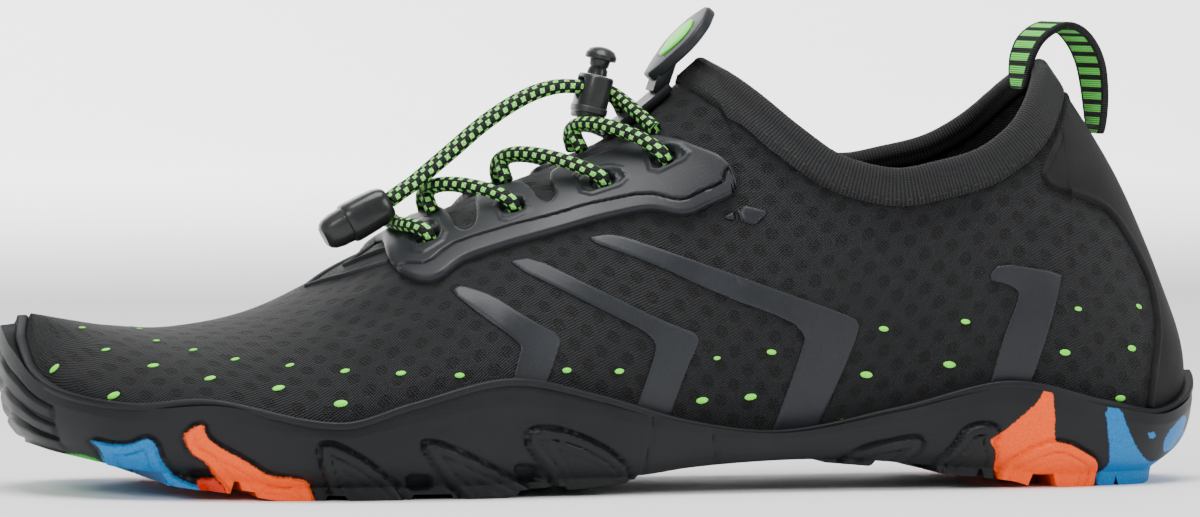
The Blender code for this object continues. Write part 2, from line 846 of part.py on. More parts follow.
def seat_from_above(tree, x, y, height):
    """Point at a height over the upper, straight out from its surface."""
    spot, normal, _, _ = tree.ray_cast(Vector((x, y, 1.0)), Vector((0, 0, -1)))
    return spot + normal * (1 if normal.z > 0 else -1) * height


def rod(name, start, end, radius, sides, material=None, hidden=True):
    return tube(name, [start, end], radius, sides, material, hidden)


def tube(name, path, radius, sides, material=None, hidden=False):
    """Round closed solid along a path."""
    loft = []
    across = None
    for number, point in enumerate(path):
        before = path[max(number - 1, 0)]
        after = path[min(number + 1, len(path) - 1)]
        ahead = (after - before).normalized()
        if across is None:
            across = ahead.orthogonal().normalized()
        across = (across - ahead * across.dot(ahead)).normalized()
        other = ahead.cross(across)
        turns = [2 * math.pi * side / sides for side in range(sides)]
        loft.append([point + (across * math.cos(a) + other * math.sin(a)) * radius for a in turns])
    return loft_solid(name, loft, material, hidden)


def curve_through(points, count):
    """Points spread along a smooth curve through a route."""
    runs = [0.0]
    for before, after in zip(points, points[1:]):
        runs.append(runs[-1] + (after - before).length)
    rows = {"run": runs, "x": [p.x for p in points], "y": [p.y for p in points], "z": [p.z for p in points]}
    places = [runs[-1] * step / (count - 1) for step in range(count)]
    return [Vector([smooth(rows, axis, one) for axis in "xyz"]) for one in places]


def build_eyestay(name, side, sheet, tree, material):
    stay = overlay(name, sheet, EYESTAY, side * RIDGE_CLEARANCE, side * BALL_WIDTH, STAY_THICKNESS, material)
    for number, (one, height) in enumerate(zip(EYELETS["along"], EYELETS["height"])):
        x = LENGTH * (0.5 - one)
        spot, out = seat_from_side(tree, x, INSTEP_HEIGHT * height, side)
        low = spot - out * EYELET_DEEP
        hole = rod("%s_hole_%d" % (name, number), low, spot + out * 2 * EYELET_DEEP, EYELET_RADIUS, EYELET_SIDES)
        combine(stay, hole, "DIFFERENCE")
    return stay


def spot_key(point):
    return tuple(round(value, 6) for value in point)


def collar_ring(sheet):
    """Points of the collar's edge all the way round, with the surface's normal at each."""
    points, faces = sheet
    normals = {spot_key(point): normal for point, normal in zip(points, point_normals(points, faces))}
    turns = [one for one in stations() if COLLAR_BACK <= one <= COLLAR_FRONT]
    edge = [section(turned, side)[-1] for turned, side in ring(turns)]
    return [(point, normals[spot_key(point)]) for point in edge]


def build_binding(sheet, tree, material):
    """Tape that lies on the outside of the collar and laps over its edge."""
    edge = collar_ring(sheet)
    count = len(edge)
    far = GAP + BINDING_THICKNESS
    columns = []
    raised = {}
    for number, (point, normal) in enumerate(edge):
        ahead = (edge[(number + 1) % count][0] - edge[number - 1][0]).normalized()
        down = normal.cross(ahead).normalized()
        down = down if down.z < 0 else -down
        raised[spot_key(point)] = point - down * BINDING_CLEAR * 0.9
        spot, away, _, _ = tree.find_nearest(point + down * BINDING_WIDTH)
        away = away if away.dot(normal) > 0 else -away
        columns.append(
            [
                spot - away * BINDING_ROOT,
                point - normal * BINDING_ROOT - down * BINDING_CLEAR,
                point - normal * UPPER_WALL - down * BINDING_CLEAR,
                point - normal * UPPER_WALL - down * far,
                point + normal * far - down * far,
                spot + away * far,
            ]
        )
    points = [point for column in columns for point in column]
    size = len(columns[0])
    faces = []
    for first in range(count):
        second = (first + 1) % count
        for corner in range(size):
            after = (corner + 1) % size
            near = (first * size + corner, first * size + after)
            across = (second * size + corner, second * size + after)
            faces.append((near[0], near[1], across[1]))
            faces.append((near[0], across[1], across[0]))
    binding = make("collar_binding", points, faces, material)
    # What lies in the upper is cut away along the upper's own surface, with the gap
    lifted = [raised.get(spot_key(point), point) for point in sheet[0]]
    seat = make("binding_seat", *shell(lifted, sheet[1], -UPPER_WALL * 1.6, GAP), None, True)
    combine(binding, seat, "DIFFERENCE")
    return binding


def build_loop(material):
    """Webbing loop in the middle plane, a flat strip that turns over the back of the collar."""
    route = curve_through([place(one, 0.0, height) for one, height in LOOP_PATH], LOOP_SECTIONS)
    loft = []
    for number, point in enumerate(route):
        ahead = route[min(number + 1, len(route) - 1)] - route[max(number - 1, 0)]
        across = Vector((0, LOOP_WIDTH / 2, 0))
        out = Vector((-ahead.z, 0, ahead.x)).normalized() * (LOOP_THICKNESS / 2)
        loft.append([point - across - out, point + across - out, point + across + out, point - across + out])
    return loft_solid("heel_loop", loft, material, False)


def build_tab(sheet, tree, material):
    """Pull tab over the instep: a plate on a post, on a neck that lies along the ridge."""
    high = NECK_WIDTH / 2
    low = Vector((LENGTH * (0.5 - NECK[0]), -high, 0.0))
    top = Vector((LENGTH * (0.5 - NECK[1]), high, 1.0))
    points, faces = near_faces(*sheet, low, top)
    neck = make("instep_tab", *shell(points, faces, GAP, GAP + NECK_THICKNESS), material)
    corners = [(low.x, low.y), (top.x, low.y), (top.x, top.y), (low.x, top.y)]
    box = [[Vector((x, y, z)) for x, y in corners] for z in (0.0, INSTEP_HEIGHT * 1.5)]
    combine(neck, loft_solid("neck_outline", box), "INTERSECT")
    foot = place(TAB_FOOT[0], 0.0, TAB_FOOT[1])
    ahead = (place(TAB_TIP[0], 0.0, TAB_TIP[1]) - foot).normalized()
    out = Vector((-ahead.z, 0, ahead.x)) * (TAB_THICKNESS / 2)
    plate = []
    for up, half in zip(TAB_OUTLINE["up"], TAB_OUTLINE["half"]):
        middle = foot + ahead * TAB_LENGTH * up
        across = Vector((0, TAB_WIDTH * half, 0))
        low, high = middle - out, middle + out
        plate.append([low - across, low + across, high + across, high - across])
    combine(neck, loft_solid("tab_plate", plate), "UNION")
    post = []
    for one in POST:
        x = LENGTH * (0.5 - one)
        base = seat_from_above(tree, x, 0.0, GAP + NECK_THICKNESS / 2)
        share = (x - foot.x) / (ahead.x * TAB_LENGTH)
        tip = foot + ahead * TAB_LENGTH * share
        wide = Vector((0, NECK_WIDTH * POST_HALF, 0))
        post.append([base - wide, base + wide, tip + wide, tip - wide])
    combine(neck, loft_solid("tab_post", post), "UNION")
    return neck


def build_cords(tree, material):
    """Cord over the instep: a bar at the toe end and three crossings, and the two free strands."""
    names = ("low", "middle", "top")
    for row, name in enumerate(names):
        start_x = LENGTH * (0.5 - CROSSINGS["along"][row])
        end_x = LENGTH * (0.5 - CROSSINGS["end_along"][row])
        start_y = BALL_WIDTH * CROSSINGS["sideways"][row]
        end_y = BALL_WIDTH * CROSSINGS["end_sideways"][row]
        strands = []
        for side in (1, -1):
            route = []
            for share, height in ((0.0, 0.0), (0.3, 0.8), (0.6, 1.0), (0.8, 0.7), (1.0, 0.0)):
                x = start_x + (end_x - start_x) * math.sin(share * math.pi / 2)
                y = (start_y + (end_y - start_y) * share) * side
                rise = LACE_OVER_STAY + (LACE_ARCH - LACE_OVER_STAY) * height
                route.append(seat_from_above(tree, x, y, rise))
            strands.append(curve_through(route, 8))
        crossing = tube("lace_crossing_" + name, strands[0], CORD_DIAMETER / 2, LACE_SIDES, material)
        other = tube("strand_" + name, strands[1], CORD_DIAMETER / 2, LACE_SIDES, None, True)
        combine(crossing, other, "UNION")
    route = []
    for share in (-1.0, -0.6, -0.25, 0.25, 0.6, 1.0):
        x = LENGTH * (0.5 - BAR[0]) + LENGTH * (BAR[0] - BAR[2]) * (1 - share**2)
        rise = LACE_OVER_STAY - 0.0006 * (1 - abs(share))
        route.append(seat_from_above(tree, x, BALL_WIDTH * BAR[1] * share, rise))
    tube("lace_bar", curve_through(route, 10), CORD_DIAMETER / 2, LACE_SIDES, material)


def free_strand(side):
    """Route of a free strand, beside its twin from the lock to the end cap."""
    first = FREE_CORD[4]
    route = []
    for number, (one, sideways, height) in enumerate(FREE_CORD):
        if number < 4:
            aside = -side * sideways
        else:
            aside = sideways - first[1] + side * CORD_PITCH / 2 / BALL_WIDTH
        route.append(place(one, aside, height))
    return route


def build_free_cords(material):
    for name, side in (("outer", -1), ("inner", 1)):
        route = curve_through(free_strand(side), FREE_POINTS)
        line = bpy.data.curves.new("free_cord_" + name, "CURVE")
        line.dimensions = "3D"
        spline = line.splines.new("POLY")
        spline.points.add(len(route) - 1)
        for point, spot in zip(spline.points, route):
            point.co = (spot.x, spot.y, spot.z, 1.0)
        line.bevel_depth = CORD_DIAMETER / 2
        line.bevel_resolution = 2
        line.use_fill_caps = True
        line.materials.append(material)
        cord = bpy.data.objects.new("free_cord_" + name, line)
        bpy.context.scene.collection.objects.link(cord)


def oval_loft(start, end, rings, sides, width, depth):
    """Sections along an axis in the middle plane, from rows of share along it and share of its size."""
    axis = end - start
    ahead = axis.normalized()
    across = Vector((0, 1, 0))
    other = across.cross(ahead)
    loft = []
    for share, size in rings:
        turns = [2 * math.pi * (side + 0.5) / sides for side in range(sides)]
        middle = start + axis * share
        loft.append(
            [
                middle + across * math.cos(a) * width / 2 * size + other * math.sin(a) * depth / 2 * size
                for a in turns
            ]
        )
    return loft


def build_lock(shell_material, button_material):
    """Barrel with a slot for the two strands, and the button on its stem above it."""
    foot = place(LOCK_FOOT[0], 0.0, LOCK_FOOT[1])
    ahead = (place(LOCK_HEAD[0], 0.0, LOCK_HEAD[1]) - foot).normalized()
    head = foot + ahead * LOCK_LENGTH
    barrel_rings = ((0.0, 0.90), (0.06, 1.0), (0.94, 1.0), (1.0, 0.92))
    barrel_loft = oval_loft(foot, head, barrel_rings, 16, LOCK_WIDTH, LOCK_DEPTH)
    barrel = loft_solid("cord_lock_barrel", barrel_loft, shell_material, False)
    middle = foot + ahead * LOCK_LENGTH * SLOT_RISE
    along_slot = Vector((ahead.z, 0, -ahead.x))
    tall = ahead * (CORD_DIAMETER / 2 + 2 * GAP)
    wide = Vector((0, CORD_PITCH / 2 + CORD_DIAMETER / 2 + GAP, 0))
    slot = []
    for reach in (-LOCK_DEPTH, LOCK_DEPTH):
        centre = middle + along_slot * reach
        slot.append([centre - tall - wide, centre + tall - wide, centre + tall + wide, centre - tall + wide])
    combine(barrel, loft_solid("lock_slot", slot), "DIFFERENCE")
    start = head + ahead * GAP
    top = start + ahead * (STEM_LENGTH + BUTTON_HEIGHT)
    split = STEM_LENGTH / (STEM_LENGTH + BUTTON_HEIGHT)
    rings = ((0.0, 0.55), (split, 0.55), (split + 0.001, 1.0), (split + 0.2, 1.0), (0.92, 0.7), (1.0, 0.35))
    button = oval_loft(start, top, rings, 12, LOCK_WIDTH * 0.8, LOCK_DEPTH * 0.95)
    loft_solid("cord_lock_button", button, button_material, False)


def build_end_cap(material):
    back = place(*CAP_BACK)
    front = place(*CAP_FRONT)
    rings = ((0.0, 0.78), (0.05, 0.92), (0.12, 1.0), (0.62, 1.0), (0.66, 0.94), (0.92, 0.84), (1.0, 0.62))
    loft_solid("cord_end_cap", oval_loft(back, front, rings, 12, CAP_WIDTH, CAP_DEPTH), material, False)


def centre_over_origin():
    """Moves everything so that the outsole's box stands over the origin."""
    graph = bpy.context.evaluated_depsgraph_get()
    sole = bpy.data.objects["outsole"].evaluated_get(graph)
    middle = []
    for axis in range(2):
        values = [vertex.co[axis] for vertex in sole.data.vertices]
        middle.append((min(values) + max(values)) / 2)
    move = Matrix.Translation((-middle[0], -middle[1], 0.0))
    for thing in bpy.data.objects:
        thing.data.transform(move)


def clear_scene():
    for thing in list(bpy.data.objects):
        bpy.data.objects.remove(thing, do_unlink=True)


def main():
    clear_scene()
    rubber = finish("grey_rubber", (0.085, 0.092, 0.100), 0.55)
    knit = finish("black_knit", (0.030, 0.031, 0.033), 0.85)
    foam = finish("insole_foam", (0.05, 0.05, 0.052), 0.90)
    film = finish("slate_film", (0.105, 0.112, 0.122), 0.45)
    moulded = finish("moulded_grey", (0.070, 0.074, 0.080), 0.50)
    tape = finish("ribbed_tape", (0.035, 0.036, 0.038), 0.80)
    suede = finish("heel_suede", (0.028, 0.029, 0.031), 0.75)
    webbing = finish("green_webbing", (0.20, 0.42, 0.14), 0.75)
    cord = finish("checked_cord", (0.12, 0.20, 0.10), 0.70)
    plastic = finish("lock_plastic", (0.055, 0.058, 0.062), 0.40)
    build_outsole(rubber)
    build_upper(knit)
    build_insole(foam)
    whole = upper_sheet()
    tree = surface_tree(whole)
    sheet = overlay_sheet()
    build_binding(whole, tree, tape)
    overlay("heel_panel", sheet, HEEL_SEAM, -BALL_WIDTH, BALL_WIDTH, PANEL_THICKNESS, suede)
    for word, side in (("outer", -1), ("inner", 1)):
        reach = (side * RIDGE_CLEARANCE, side * BALL_WIDTH)
        overlay("front_chevron_" + word, sheet, FRONT_CHEVRON, *reach, FILM_THICKNESS, film)
        overlay("middle_chevron_" + word, sheet, MIDDLE_CHEVRON, *reach, FILM_THICKNESS, film)
        overlay("back_chevron_" + word, sheet, BACK_CHEVRON, *reach, FILM_THICKNESS, film)
        overlay("heel_bar_" + word, sheet, HEEL_BAR, *reach, FILM_THICKNESS, film)
        overlay("ankle_film_" + word, sheet, ANKLE_FILM, *reach, FILM_THICKNESS, film)
        build_eyestay("eyestay_" + word, side, sheet, tree, moulded)
    build_loop(webbing)
    build_tab(sheet, tree, moulded)
    build_cords(tree, cord)
    build_free_cords(cord)
    build_lock(plastic, plastic)
    build_end_cap(plastic)
    centre_over_origin()


if __name__ == "__main__":
    main()
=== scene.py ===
# %% [markdown]
# # A left water shoe
# The shoe is an assembly of named pieces: a rubber cup sole, a stretch upper, thin overlays, a collar
# tape, a heel loop, and an elastic cord with a push lock. The plain solids come packed as a frame, and
# every cell below dresses one of them. Sizes are in metres, the toe points to -X, the outer side of
# the foot to -Y, and +Z is up.

# %% Load the frame
import bisect
import math

import bmesh
import bpy
import numpy as np
from mathutils import Matrix, Vector
from mathutils.bvhtree import BVHTree


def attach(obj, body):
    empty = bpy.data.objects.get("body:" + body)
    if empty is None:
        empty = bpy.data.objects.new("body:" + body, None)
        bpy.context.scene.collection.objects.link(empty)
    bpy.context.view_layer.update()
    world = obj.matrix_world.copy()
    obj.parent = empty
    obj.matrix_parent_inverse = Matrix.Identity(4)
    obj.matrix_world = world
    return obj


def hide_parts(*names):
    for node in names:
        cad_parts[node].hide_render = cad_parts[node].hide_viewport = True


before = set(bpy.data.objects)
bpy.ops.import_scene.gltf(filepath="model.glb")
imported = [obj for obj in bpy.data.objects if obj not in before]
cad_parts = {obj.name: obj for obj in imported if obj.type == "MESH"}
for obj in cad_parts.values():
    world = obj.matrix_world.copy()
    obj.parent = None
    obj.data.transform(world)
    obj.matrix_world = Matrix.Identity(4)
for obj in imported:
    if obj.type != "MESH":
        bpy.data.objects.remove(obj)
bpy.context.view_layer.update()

MM = 0.001

# %% [markdown]
# ## Camera
# The photograph is taken with a long lens, a little from the toe side and just above the floor. A long
# lens keeps the near and the far side at one scale, so places in the picture turn into places on the
# shoe by a plain rule.

# %% Camera
TURN_TO_TOE = math.radians(12.0)
LOOK_DOWN = math.radians(2.5)
LENS = 400.0
SENSOR = 36.0
VIEW_WIDTH = 0.2742
LOOK_AT = Vector((-0.0007, 0.0010, 0.05185))

direction = Vector(
    (
        -math.sin(TURN_TO_TOE) * math.cos(LOOK_DOWN),
        -math.cos(TURN_TO_TOE) * math.cos(LOOK_DOWN),
        math.sin(LOOK_DOWN),
    )
)
camera_data = bpy.data.cameras.new("camera")
camera_data.lens = LENS
camera_data.sensor_width = SENSOR
camera_data.clip_end = 20.0
camera = bpy.data.objects.new("camera", camera_data)
bpy.context.scene.collection.objects.link(camera)
camera.location = LOOK_AT + direction * (VIEW_WIDTH * LENS / SENSOR)
camera.rotation_euler = (-direction).to_track_quat("-Z", "Y").to_euler()
bpy.context.scene.camera = camera
print("camera stands", round((camera.location - LOOK_AT).length, 2), "m away")

# %% [markdown]
# ## The last in numbers
# A shoe is drawn over a last, and a last is a few smooth curves: the outline of the sole, the rim of
# the rubber, the line over the instep, and the collar. Each one is a short table of shares of a named
# size. The same tables made the plain solids, so what is dressed here lies where they are.

# %% Named sizes
LENGTH = 0.276
BALL_WIDTH = 0.101
INSTEP_HEIGHT = 0.0966
SIDE_HEIGHT = 0.0273
ARCH_LIFT = 0.007
LUG_DEPTH = 0.003
LUG_PROUD = 0.0012
GAP = 0.0003
UPPER_WALL = 0.0020
RIM_WALL = 0.0022
FEATHER_INSET = 0.006
WIDEST_PART = 0.30
SWELL_RISE = 0.42
BOTTOM_INSET = 0.006
COLLAR_BACK = 0.232
COLLAR_FRONT = 0.447
CENTRE = Vector((0.000188, 0.000975, 0.0))

# %% Tables of the last
def table(names, *rows):
    """Rows of numbers as one list for each named column."""
    return dict(zip(names.split(), zip(*rows)))


# Sole outline: centre and half width in ball widths
OUTLINE = table(
    "along centre half",
    (0.00, 0.000, 0.000),
    (0.05, 0.000, 0.252),
    (0.12, 0.000, 0.332),
    (0.20, -0.005, 0.351),
    (0.30, -0.015, 0.342),
    (0.40, -0.035, 0.342),
    (0.50, -0.050, 0.366),
    (0.60, -0.040, 0.436),
    (0.68, -0.020, 0.485),
    (0.76, -0.005, 0.500),
    (0.84, 0.020, 0.475),
    (0.90, 0.045, 0.421),
    (0.95, 0.070, 0.337),
    (1.00, 0.100, 0.000),
)

# Top edge of the rubber side: heights in side heights
RIM = table(
    "along outer inner",
    (0.000, 0.916, 0.916),
    (0.040, 0.640, 0.640),
    (0.100, 0.733, 0.733),
    (0.186, 0.908, 0.908),
    (0.280, 0.696, 0.760),
    (0.375, 0.520, 0.690),
    (0.452, 0.608, 0.740),
    (0.540, 0.853, 0.880),
    (0.618, 1.000, 1.000),
    (0.700, 0.813, 0.850),
    (0.757, 0.659, 0.720),
    (0.851, 0.839, 0.840),
    (0.913, 0.802, 0.802),
    (0.965, 0.890, 0.890),
    (0.985, 1.030, 1.030),
    (0.995, 1.230, 1.230),
    (1.000, 1.400, 1.400),
)

# Floor inside the sole: heights in side heights
FLOOR = table(
    "along height",
    (0.00, 0.476),
    (0.10, 0.440),
    (0.30, 0.447),
    (0.42, 0.432),
    (0.50, 0.403),
    (0.62, 0.315),
    (0.75, 0.293),
    (0.85, 0.366),
    (0.93, 0.495),
    (1.00, 0.660),
)

# Underside at the lugs: heights in arch lifts, and how much of the lug depth the tread has there
GROUND = table(
    "along height tread",
    (0.020, 1.000, 0.3),
    (0.041, 0.370, 0.7),
    (0.058, 0.000, 1.0),
    (0.156, 0.000, 1.0),
    (0.178, 0.220, 0.9),
    (0.228, 0.457, 0.6),
    (0.315, 0.830, 0.4),
    (0.384, 1.000, 0.0),
    (0.453, 0.830, 0.0),
    (0.500, 0.430, 0.4),
    (0.573, 0.180, 0.9),
    (0.645, 0.000, 1.0),
    (0.797, 0.000, 1.0),
    (0.826, 0.150, 1.0),
    (0.888, 0.470, 0.9),
    (0.920, 0.700, 0.7),
    (0.949, 1.070, 0.4),
    (0.975, 1.500, 0.0),
    (0.985, 1.800, 0.0),
)

# Side of the sole from its bottom edge up: how far up, and the inset in bottom insets
SIDE = table(
    "up inset",
    (0.00, 1.00),
    (0.18, 0.43),
    (0.42, 0.15),
    (0.74, 0.00),
)

# Line over the middle of the upper, with the heel's back line first and a line across the opening:
# where it lies along the length, its height in instep heights, then in ball widths how wide the
# shoulder is that it carries on each side, and how far it leans to the inner side
RIDGE = table(
    "along reach height shoulder lean",
    (0.0000, 0.0130, 0.321, 0.000, 0.000),
    (0.0062, 0.0196, 0.388, 0.060, 0.000),
    (0.0245, 0.0326, 0.481, 0.100, 0.000),
    (0.0476, 0.0471, 0.588, 0.120, 0.000),
    (0.0778, 0.0690, 0.728, 0.130, 0.000),
    (0.1051, 0.0960, 0.858, 0.130, 0.000),
    (0.1268, 0.1279, 0.991, 0.130, 0.000),
    (0.1694, 0.1694, 1.159, 0.150, 0.000),
    (0.2591, 0.2591, 1.232, 0.165, 0.000),
    (0.3455, 0.3455, 1.159, 0.170, 0.000),
    (0.4172, 0.4172, 1.000, 0.190, 0.000),
    (0.4686, 0.4686, 0.877, 0.210, 0.000),
    (0.5314, 0.5314, 0.771, 0.240, 0.000),
    (0.5937, 0.5937, 0.703, 0.257, 0.005),
    (0.6545, 0.6545, 0.628, 0.267, 0.010),
    (0.7270, 0.7270, 0.512, 0.267, 0.020),
    (0.7939, 0.7939, 0.422, 0.262, 0.030),
    (0.8645, 0.8605, 0.384, 0.250, 0.045),
    (0.9222, 0.9112, 0.388, 0.218, 0.060),
    (0.9649, 0.9438, 0.401, 0.158, 0.075),
    (0.9911, 0.9656, 0.412, 0.090, 0.090),
    (1.0000, 0.9746, 0.416, 0.000, 0.100),
)

# Collar edge on the outer side: heights in instep heights
COLLAR = table(
    "along height",
    (0.1268, 0.991),
    (0.1650, 0.866),
    (0.1870, 0.815),
    (0.2080, 0.784),
    (0.2390, 0.761),
    (0.2730, 0.744),
    (0.3025, 0.756),
    (0.3300, 0.786),
    (0.3620, 0.854),
    (0.3910, 0.932),
    (0.4172, 1.000),
)
INNER_COLLAR_RISE = 0.0015

# %% Curves through the tables
def turn(along):
    """Place along the length, 0 at the heel and 1 at the toe, as a turn that opens out both ends."""
    return math.acos(1 - 2 * min(max(along, 0.0), 1.0)) / math.pi


def along(turned):
    return (1 - math.cos(math.pi * turned)) / 2


def along_of(x):
    return 0.5 - x / LENGTH


def smooth(rows, name, place):
    """A column's value on a smooth curve through its rows, whose first column is the place."""
    columns = list(rows.values())
    opened = "along" in rows
    places = [turn(value) if opened else value for value in columns[0]]
    values = rows[name]
    place = turn(place) if opened else place
    place = min(max(place, places[0]), places[-1])
    low = min(max(bisect.bisect_right(places, place) - 1, 0), len(places) - 2)
    span = places[low + 1] - places[low]

    def slope(row):
        first = max(row - 1, 0)
        last = min(row + 1, len(places) - 1)
        return (values[last] - values[first]) / (places[last] - places[first])

    part = (place - places[low]) / span
    start = (1 + 2 * part) * (1 - part) ** 2 * values[low] + part * (1 - part) ** 2 * span * slope(low)
    end = part**2 * (3 - 2 * part) * values[low + 1] + part**2 * (part - 1) * span * slope(low + 1)
    return start + end


def floor_height(x):
    return SIDE_HEIGHT * smooth(FLOOR, "height", along_of(x))


def lug_height(x):
    """Height of the tread's lowest face, which is flat on the ground under ball and heel."""
    return max(0.0, ARCH_LIFT * smooth(GROUND, "height", along_of(x)))


def base_height(x):
    return lug_height(x) + LUG_DEPTH * smooth(GROUND, "tread", along_of(x))


def on_outline(turned, side):
    place = along(turned)
    centre = smooth(OUTLINE, "centre", place)
    half = max(0.0, smooth(OUTLINE, "half", place))
    return Vector((LENGTH * (0.5 - place), BALL_WIDTH * (centre + side * half), 0.0))


def outward(turned, side):
    """Level direction that points out of the sole's outline."""
    step = 0.004
    before = on_outline(turned - step, side) if turned > step else on_outline(step - turned, -side)
    after = turned + step
    ahead = on_outline(after, side) if after < 1 else on_outline(2 - after, -side)
    run = ahead - before
    return Vector((-run.y, run.x, 0.0)).normalized() * (-side)


def inset_outline(turned, side, inset):
    return on_outline(turned, side) - outward(turned, side) * inset


def rim_height(turned, side):
    return SIDE_HEIGHT * smooth(RIM, "outer" if side < 0 else "inner", along(turned))


def cubic_shares(part):
    rest = 1 - part
    return rest**3, 3 * rest**2 * part, 3 * rest * part**2, part**3


def arch_points(turned, side):
    """Four control points of the upper's half section, from the feather edge to the ridge."""
    place = along(turned)
    out = outward(turned, side)
    foot = inset_outline(turned, side, FEATHER_INSET)
    foot.z = floor_height(foot.x) + GAP
    ridge = Vector(
        (
            LENGTH * (0.5 - smooth(RIDGE, "reach", place)),
            BALL_WIDTH * smooth(RIDGE, "lean", place),
            INSTEP_HEIGHT * smooth(RIDGE, "height", place),
        )
    )
    shoulder = ridge + Vector((0, side * BALL_WIDTH * max(0.0, smooth(RIDGE, "shoulder", place)), 0))
    # The section swells until its widest part stands against the inside of the rubber wall
    wall = on_outline(turned, side).dot(out) - RIM_WALL - 2 * GAP
    level = [foot.dot(out), 0.0, shoulder.dot(out), ridge.dot(out)]
    shares = cubic_shares(WIDEST_PART)
    swelling = (wall - sum(one * share for one, share in zip(level, shares))) / shares[1]
    swell = foot + out * (swelling - foot.dot(out)) + Vector((0, 0, SWELL_RISE * (ridge.z - foot.z)))
    return foot, swell, shoulder, ridge


def on_arch(points, part):
    """Point of a cubic curve with four control points."""
    return sum((point * share for point, share in zip(points, cubic_shares(part))), Vector((0, 0, 0)))


def part_at_height(points, height):
    low = 0.0
    high = 1.0
    for _ in range(40):
        middle = (low + high) / 2
        if on_arch(points, middle).z < height:
            low = middle
        else:
            high = middle
    return low


def collar_height(turned, side):
    share = (turned - COLLAR_BACK) / (COLLAR_FRONT - COLLAR_BACK)
    rise = INNER_COLLAR_RISE * math.sin(math.pi * share) if side > 0 else 0.0
    return INSTEP_HEIGHT * smooth(COLLAR, "height", along(turned)) + rise


# %% [markdown]
# ## Meshes from points
# Every piece is made from points that the curves give. Two helpers are enough: one turns points and
# faces into an object over the origin, the other gives a thin sheet its second face and its edge.

# %% Piece and sheet helpers
def piece(name, points, faces, material, sharp=40.0):
    """Object from points and faces, shifted over the origin and shaded smooth but for sharp edges."""
    mesh = bpy.data.meshes.new(name)
    shifted = np.asarray(points, float) + np.array(CENTRE)
    mesh.from_pydata(shifted.tolist(), [], [list(face) for face in faces])
    mesh.validate()
    mesh.materials.append(material)
    mesh.shade_smooth()
    mesh.set_sharp_from_angle(angle=math.radians(sharp))
    thing = bpy.data.objects.new(name, mesh)
    bpy.context.scene.collection.objects.link(thing)
    return thing


def give_uv(thing, places):
    """UV map from one place, in metres, for each point of a piece."""
    layer = thing.data.uv_layers.new(name="UVMap")
    corners = np.zeros(len(thing.data.loops), np.int32)
    thing.data.loops.foreach_get("vertex_index", corners)
    layer.data.foreach_set("uv", np.asarray(places, np.float32)[corners].ravel())


def give_value(thing, name, values):
    attribute = thing.data.attributes.new(name, "FLOAT", "POINT")
    attribute.data.foreach_set("value", np.asarray(values, np.float32))


def sheet_normals(points, faces):
    """Outward direction at each point of a sheet of triangles or quads."""
    points = np.asarray(points)
    sums = np.zeros_like(points)
    for size in (3, 4):
        some = np.array([face for face in faces if len(face) == size], int)
        if len(some):
            corners = points[some]
            cross = np.cross(corners[:, 2] - corners[:, 0], corners[:, -1] - corners[:, 1])
            if size == 3:
                cross = np.cross(corners[:, 1] - corners[:, 0], corners[:, 2] - corners[:, 0])
            for corner in range(size):
                np.add.at(sums, some[:, corner], cross)
    lengths = np.linalg.norm(sums, axis=1, keepdims=True)
    return sums / np.maximum(lengths, 1e-12)


def closed_sheet(outer, inner, faces):
    """Points and faces of a closed solid between two sheets with the same faces."""
    count = len(outer)
    edges = {}
    for face in faces:
        for first, second in zip(face, list(face[1:]) + [face[0]]):
            edges[(first, second)] = True
    solid = [list(face) for face in faces]
    solid += [[corner + count for corner in reversed(face)] for face in faces]
    for first, second in edges:
        if (second, first) not in edges:
            solid.append([second, first, first + count, second + count])
    return np.vstack([outer, inner]), solid


def grid_faces(columns, rows, closed):
    faces = []
    for first in range(columns if closed else columns - 1):
        second = (first + 1) % columns
        for row in range(rows - 1):
            low = first * rows + row
            far = second * rows + row
            faces.append((low, low + 1, far + 1, far))
    return faces


def weld(points, faces, step=1e-7):
    """Points at one place joined, and faces that lost a side left out."""
    keys = np.round(np.asarray(points) / step).astype(np.int64)
    _, first, number = np.unique(keys, axis=0, return_index=True, return_inverse=True)
    number = number.ravel()
    kept = []
    for face in faces:
        corners = list(dict.fromkeys(number[list(face)].tolist()))
        if len(corners) > 2:
            kept.append(corners)
    return first, kept


# %% [markdown]
# ## Finishes
# All finishes are built from nodes. A short helper adds a node and sets its plain values, and a second
# one joins sockets, so each material reads as a list of what the surface does: colour, weave, bump.

# %% Node helpers
def new_material(name, roughness, sheen=0.0, shine=0.3):
    material = bpy.data.materials.new(name)
    material.use_nodes = True
    shader = material.node_tree.nodes["Principled BSDF"]
    shader.inputs["Roughness"].default_value = roughness
    shader.inputs["Specular IOR Level"].default_value = shine
    shader.inputs["Sheen Weight"].default_value = sheen
    shader.inputs["Sheen Roughness"].default_value = 0.5
    return material, material.node_tree, shader


def add(tree, kind, *inputs, **settings):
    """A node with its settings, whose inputs take plain values or other sockets in order."""
    made = tree.nodes.new(kind)
    for key, value in settings.items():
        setattr(made, key, value)
    for socket, value in zip(made.inputs, inputs):
        if isinstance(value, bpy.types.NodeSocket):
            tree.links.new(value, socket)
        elif value is not None:
            socket.default_value = value
    return made.outputs[0]


def calc(tree, operation, *inputs):
    return add(tree, "ShaderNodeMath", *inputs, operation=operation)


def product(tree, *inputs):
    return calc(tree, "MULTIPLY", *inputs)


def total(tree, *inputs):
    return calc(tree, "ADD", *inputs)


def from_middle(tree, value):
    """How far the fraction of a value lies from a half."""
    return calc(tree, "ABSOLUTE", calc(tree, "SUBTRACT", calc(tree, "FRACT", value), 0.5))


